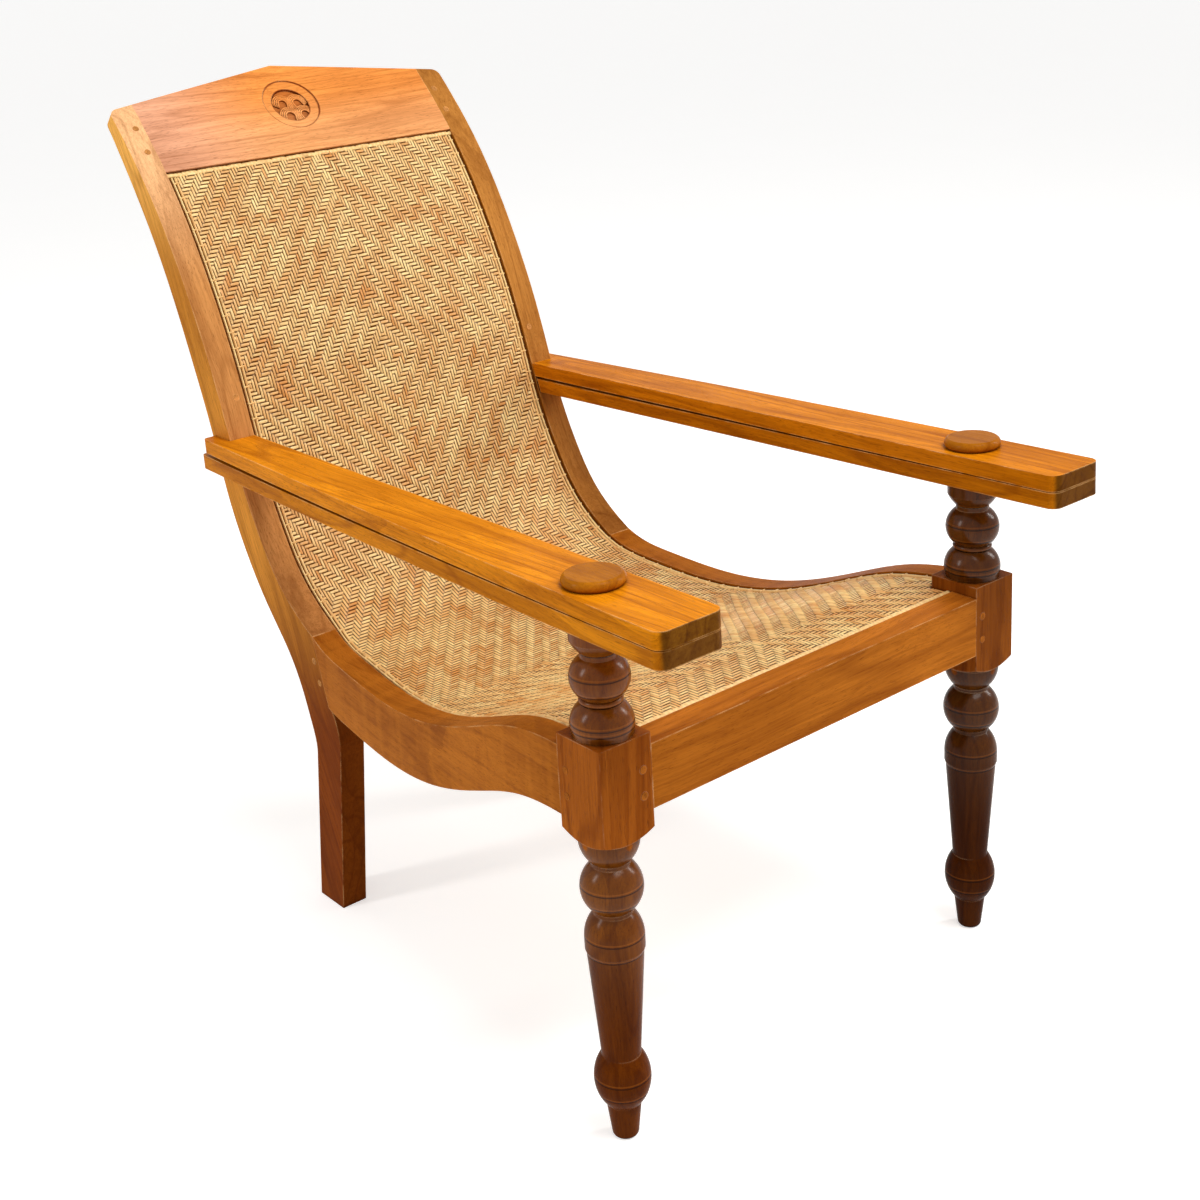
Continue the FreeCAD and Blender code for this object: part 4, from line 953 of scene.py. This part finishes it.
def carved_ridge(name, middle, lean, radius, thickness, legs):
    """A half ring with its two ends drawn down into legs."""
    deselect()
    bpy.ops.mesh.primitive_torus_add(major_radius=radius, minor_radius=thickness,
                                     major_segments=28, minor_segments=8)
    ridge = named(name)
    # rise also paints shade on the low parts, in the carved wood finish
    write_values(ridge.data, "rise", spots_of(ridge.data)[:, 2] / thickness)
    bpy.ops.object.mode_set(mode="EDIT")
    bpy.ops.mesh.select_all(action="SELECT")
    bpy.ops.mesh.bisect(plane_co=(0, 0, 0), plane_no=(0, 1, 0), clear_inner=True)
    bpy.ops.mesh.select_all(action="DESELECT")
    bpy.ops.mesh.select_non_manifold()
    bpy.ops.mesh.extrude_region_move(TRANSFORM_OT_translate={"value": (0, -legs, 0)})
    bpy.ops.mesh.select_non_manifold()
    bpy.ops.mesh.fill_holes(sides=0)
    bpy.ops.mesh.select_all(action="SELECT")
    bpy.ops.mesh.normals_make_consistent(inside=False)
    bpy.ops.object.mode_set(mode="OBJECT")
    turn = Matrix.Translation((*middle, 0)) @ Matrix.Rotation(lean, 4, "Z")
    ridge.data.transform(turn)
    return ridge


class CarveMedallion(bpy.types.Operator):
    """Carves the arches in the round bed of the crest"""

    bl_idname = "planters_chair.carve_medallion"
    bl_label = "Carve the medallion"

    def execute(self, context):
        wood = context.scene.chair_wood
        bed = Medallion()
        pieces = []
        for number, (x, y, lean, hollow) in enumerate(ARCHES):
            for step, level in enumerate(RIDGE_LEVELS):
                radius = hollow * MM + wood.ridge_pitch * (step + 0.5)
                ridge = carved_ridge(f"ridge_{number}_{step}", (x * MM, y * MM),
                                     math.radians(lean), radius, wood.ridge_pitch * 0.54,
                                     (8 - step) * MM)
                ridge.data.transform(Matrix.Translation((0, 0, level * MM))
                                     @ Matrix.Diagonal((1, 1, 1.6, 1)))
                pieces.append(ridge)
        piece = joined("crest_carving", pieces)
        piece.data.transform(bed.place)
        bpy.ops.object.shade_smooth()
        dress(piece, bpy.data.materials["Carved wood"])
        return {"FINISHED"}


# wood finishes


def give(names, finish):
    """Puts a finish on nodes of the plain chair."""
    for name in names:
        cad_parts[name].material_slots[0].material = finish


class PolishFrame(bpy.types.Operator):
    """Finishes the flat boards and rails in polished wood"""

    bl_idname = "planters_chair.polish_frame"
    bl_label = "Polish the frame"

    def execute(self, context):
        wood = context.scene.chair_wood
        level, lengthwise, upright = (0, 0, 0), (0, 0, -QUARTER), (math.radians(22), QUARTER, 0)
        bed = Medallion()
        # painted sheen: the crest paler towards its lower edge and pinker towards its near (-x)
        # end
        crest_sheen = tuple(min(1.0, c) for c in times((1.05, 1.35, 2.4), wood.crest))
        near_end_sheen = (0.78, 0.37, 0.21)
        crest = {"colour": wood.crest, "turn": level, "place": (0.1, 0.17, -0.9),
                 "figure": 0.36, "ring_width": 7.0,
                 "tones": ((crest_sheen, "Z", 0.985, 0.925), (near_end_sheen, "X", -0.02, -0.22))}
        give(["crest_rail"],
             wood_finish("Crest wood", rings=(bed.middle, bed.rim, bed.radius), **crest))
        wood_finish("Carved wood", recess_shade=True, **crest)
        give(["lumbar_rail", "rear_seat_rail"],
             wood_finish("Cross rail wood", wood.stile, level, (0.4, 0.3, 0.1)))
        # painted shade: the rear legs darker towards the foot, below the seat
        foot = times((0.34, 0.175, 0.05), wood.stile)
        # painted sheen: the top of the near (right) rear leg paler
        near_top_sheen = tuple(min(1.0, c) for c in times((1.4, 1.75, 2.8), wood.stile))
        # end faces of the arms and leg rests darker: end grain, deepened by painted shade
        end = (0.17, 0.19, 1.0)
        # painted shade: deep darkens the far (left) rear leg, arm and leg rest, and their faces
        # across X
        for side, shift, deep in (("right", 0.0, (1, 1, 1)), ("left", 0.37, (0.80, 0.74, 0.50))):
            leg = times(deep, wood.stile)
            arm = times((share**0.5 for share in deep), wood.arm)
            tip = times((0.94, 0.92, 0.5), arm)
            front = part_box(f"arm_{side}")[0].y
            top = near_top_sheen if side == "right" else leg
            tones = ((foot, "Z", 0.50, 0.24), (top, "Z", 0.76, 0.93))
            # painted light and shade: the rear leg's faces across X get a tone of their own
            give([f"rear_leg_{side}"],
                 wood_finish(f"Rear leg wood {side}", leg, upright,
                             (shift, 0.08 + shift, 0.05), figure=0.42,
                             sides=(("X", (1.17, 1.06, 0.42)),), tones=tones))
            give([f"side_rail_{side}"],
                 wood_finish(f"Side rail wood {side}", wood.rail, lengthwise,
                             (shift, 0.21, -0.3 + shift), figure=0.5, flame=0.35))
            give([f"arm_{side}"],
                 wood_finish(f"Arm wood {side}", arm, lengthwise,
                             (shift, 0.1 + shift, -0.5), figure=0.62, ring_width=10.0,
                             polish=0.30, coat=0.02, sides=(("Y", end), ("X", deep)),
                             tones=((tip, "Y", front + 0.19, front + 0.05),)))
            give([f"leg_rest_{side}"],
                 wood_finish(f"Leg rest wood {side}", tuple(0.85 * c for c in arm),
                             lengthwise, (0.6 + shift, 0.33, -0.42 + shift), figure=0.6,
                             ring_width=9.0, polish=0.32, coat=0.02,
                             sides=(("Y", end), ("X", deep))))
        give(["front_rail"], wood_finish("Front rail wood", wood.rail, level,
                                         (0.2, 0.52, -0.35), figure=0.5))
        return {"FINISHED"}


class PolishTurnings(bpy.types.Operator):
    """Finishes the turned posts, their caps and the pegs"""

    bl_idname = "planters_chair.polish_turnings"
    bl_label = "Polish the turned posts"

    def execute(self, context):
        wood = context.scene.chair_wood
        # painted shade: the far (left) post and its block are darkened
        for side, place, shade_factor in (("right", (0.1, 0.3, 0.5), 1.0),
                                   ("left", (0.7, 0.2, 0.1), 0.45)):
            give([f"front_post_{side}"],
                 turned_finish(f"Turned wood {side}", tuple(shade_factor * c for c in wood.turned),
                               tuple((0.4 + 0.6 * shade_factor) * c for c in wood.block), place,
                               wood.line_width / 2))
        cap = tuple(0.5 * a + 0.3 * b for a, b in zip(wood.arm, wood.turned))
        give(["pivot_caps"],
             wood_finish("Cap wood", cap, (0, 0, -QUARTER), (0.2, 0.5, -0.6), figure=0.4,
                         ring_width=12.0, polish=0.26, coat=0.05, wear=0.3))
        give(["pegs_front_posts", "pegs_arms"], peg_finish("Dark peg", wood.peg))
        pale = tuple(0.85 * c for c in wood.stile)
        give(["pegs_rear_legs", "pegs_crest", "pegs_lumbar"], peg_finish("Pale peg", pale))
        return {"FINISHED"}


# floor, lamps and camera


def seen_rays(tree):
    """One for the rays that show the background: camera, glossy and transmission rays."""
    path = node(tree, "ShaderNodeLightPath")
    seen = sum_up(tree, "MAXIMUM", path.outputs["Is Camera Ray"], path.outputs["Is Glossy Ray"])
    return sum_up(tree, "MAXIMUM", seen, path.outputs["Is Transmission Ray"])


def mixed(tree, share, first, second):
    return node(tree, "ShaderNodeMixShader", None, i0=share, i1=first.outputs[0],
                i2=second.outputs[0])


class SetStage(bpy.types.Operator):
    """Sets the pale floor, the soft lamps and the camera"""

    bl_idname = "planters_chair.set_stage"
    bl_label = "Set the stage"

    def execute(self, context):
        stage = context.scene.chair_stage
        deselect()
        bpy.ops.mesh.primitive_plane_add(size=60, location=(0, 0, 0))
        floor = named("floor")
        finish, tree, shader, coords = new_finish("Pale floor")
        shader.inputs["Roughness"].default_value = 0.9
        shade = noise(tree, coords.outputs["Object"], 3.0)
        feed(tree, shader.inputs["Base Color"],
             mix(tree, shade, (0.80, 0.80, 0.80), (0.83, 0.83, 0.83)))
        glow = node(tree, "ShaderNodeEmission", None, Color=(1, 1, 1), Strength=0.55)
        none = node(tree, "ShaderNodeEmission", None, Color=(0, 0, 0), Strength=0.0)
        chosen = mixed(tree, seen_rays(tree), none, glow)
        both = node(tree, "ShaderNodeAddShader", None, i0=shader.outputs[0],
                    i1=chosen.outputs[0])
        tree.links.new(both.outputs[0], tree.nodes["Material Output"].inputs["Surface"])
        floor.data.materials.append(finish)

        world = bpy.data.worlds.new("Surroundings")
        world.use_nodes = True
        context.scene.world = world
        tree = world.node_tree
        tree.nodes.clear()
        around = node(tree, "ShaderNodeBackground", None, Color=(1.0, 0.985, 0.96),
                      Strength=stage.world_level)
        white = node(tree, "ShaderNodeBackground", None, Color=(1, 1, 1), Strength=1.0)
        chosen = mixed(tree, seen_rays(tree), around, white)
        out = tree.nodes.new("ShaderNodeOutputWorld")
        tree.links.new(chosen.outputs[0], out.inputs["Surface"])

        for name, place, power, size in (
                ("key_lamp", (-2.9, 0.8, 2.0), stage.key_power, (0.4, 1.4)),
                ("fill_lamp", (2.9, -1.5, 2.0), stage.fill_power, (0.4, 1.4)),
                ("top_lamp", (0.2, -1.9, 3.6), stage.top_power, (2.0, 1.6))):
            deselect()
            bpy.ops.object.light_add(type="AREA", location=place)
            lamp = named(name)
            lamp.data.shape = "RECTANGLE"
            lamp.data.size, lamp.data.size_y = size
            lamp.data.energy = power
            lamp.data.color = (1.0, 0.98, 0.95)
            aim = LAMP_TARGET - Vector(place)
            lamp.rotation_euler = aim.to_track_quat("-Z", "Y").to_euler()

        deselect()
        bpy.ops.object.camera_add(location=stage.camera_place, rotation=stage.camera_turn)
        camera = named("camera")
        camera.data.sensor_width = 36
        camera.data.lens = stage.lens
        camera.data.shift_x, camera.data.shift_y = stage.camera_shift
        context.scene.camera = camera
        context.scene.view_settings.view_transform = "Standard"
        return {"FINISHED"}


# panel and registration


STEPS = (SetStage, PolishFrame, PolishTurnings, CarveMedallion, WeaveCane, LayBorders)
SETTINGS = {"chair_wood": ChairWood, "chair_cane": ChairCane, "chair_stage": ChairStage}


class ChairPanel(bpy.types.Panel):
    """Lists the steps that dress the chair, and their settings"""

    bl_idname = "VIEW3D_PT_planters_chair"
    bl_label = "Planters Chair"
    bl_space_type = "VIEW_3D"
    bl_region_type = "UI"
    bl_category = "Chair"

    def draw(self, context):
        for step in STEPS:
            self.layout.operator(step.bl_idname)
        for name, kind in SETTINGS.items():
            box = self.layout.box()
            for key in kind.__annotations__:
                box.prop(getattr(context.scene, name), key)


def register():
    for kind in (*SETTINGS.values(), *STEPS, ChairPanel):
        bpy.utils.register_class(kind)
    for name, kind in SETTINGS.items():
        setattr(bpy.types.Scene, name, bpy.props.PointerProperty(type=kind))


def unregister():
    for name in SETTINGS:
        delattr(bpy.types.Scene, name)
    for kind in reversed((*SETTINGS.values(), *STEPS, ChairPanel)):
        bpy.utils.unregister_class(kind)


def main():
    register()
    bpy.ops.planters_chair.set_stage()
    bpy.ops.planters_chair.polish_frame()
    bpy.ops.planters_chair.polish_turnings()
    bpy.ops.planters_chair.carve_medallion()
    bpy.ops.planters_chair.weave_cane()
    bpy.ops.planters_chair.lay_borders()


if __name__ == "__main__":
    main()
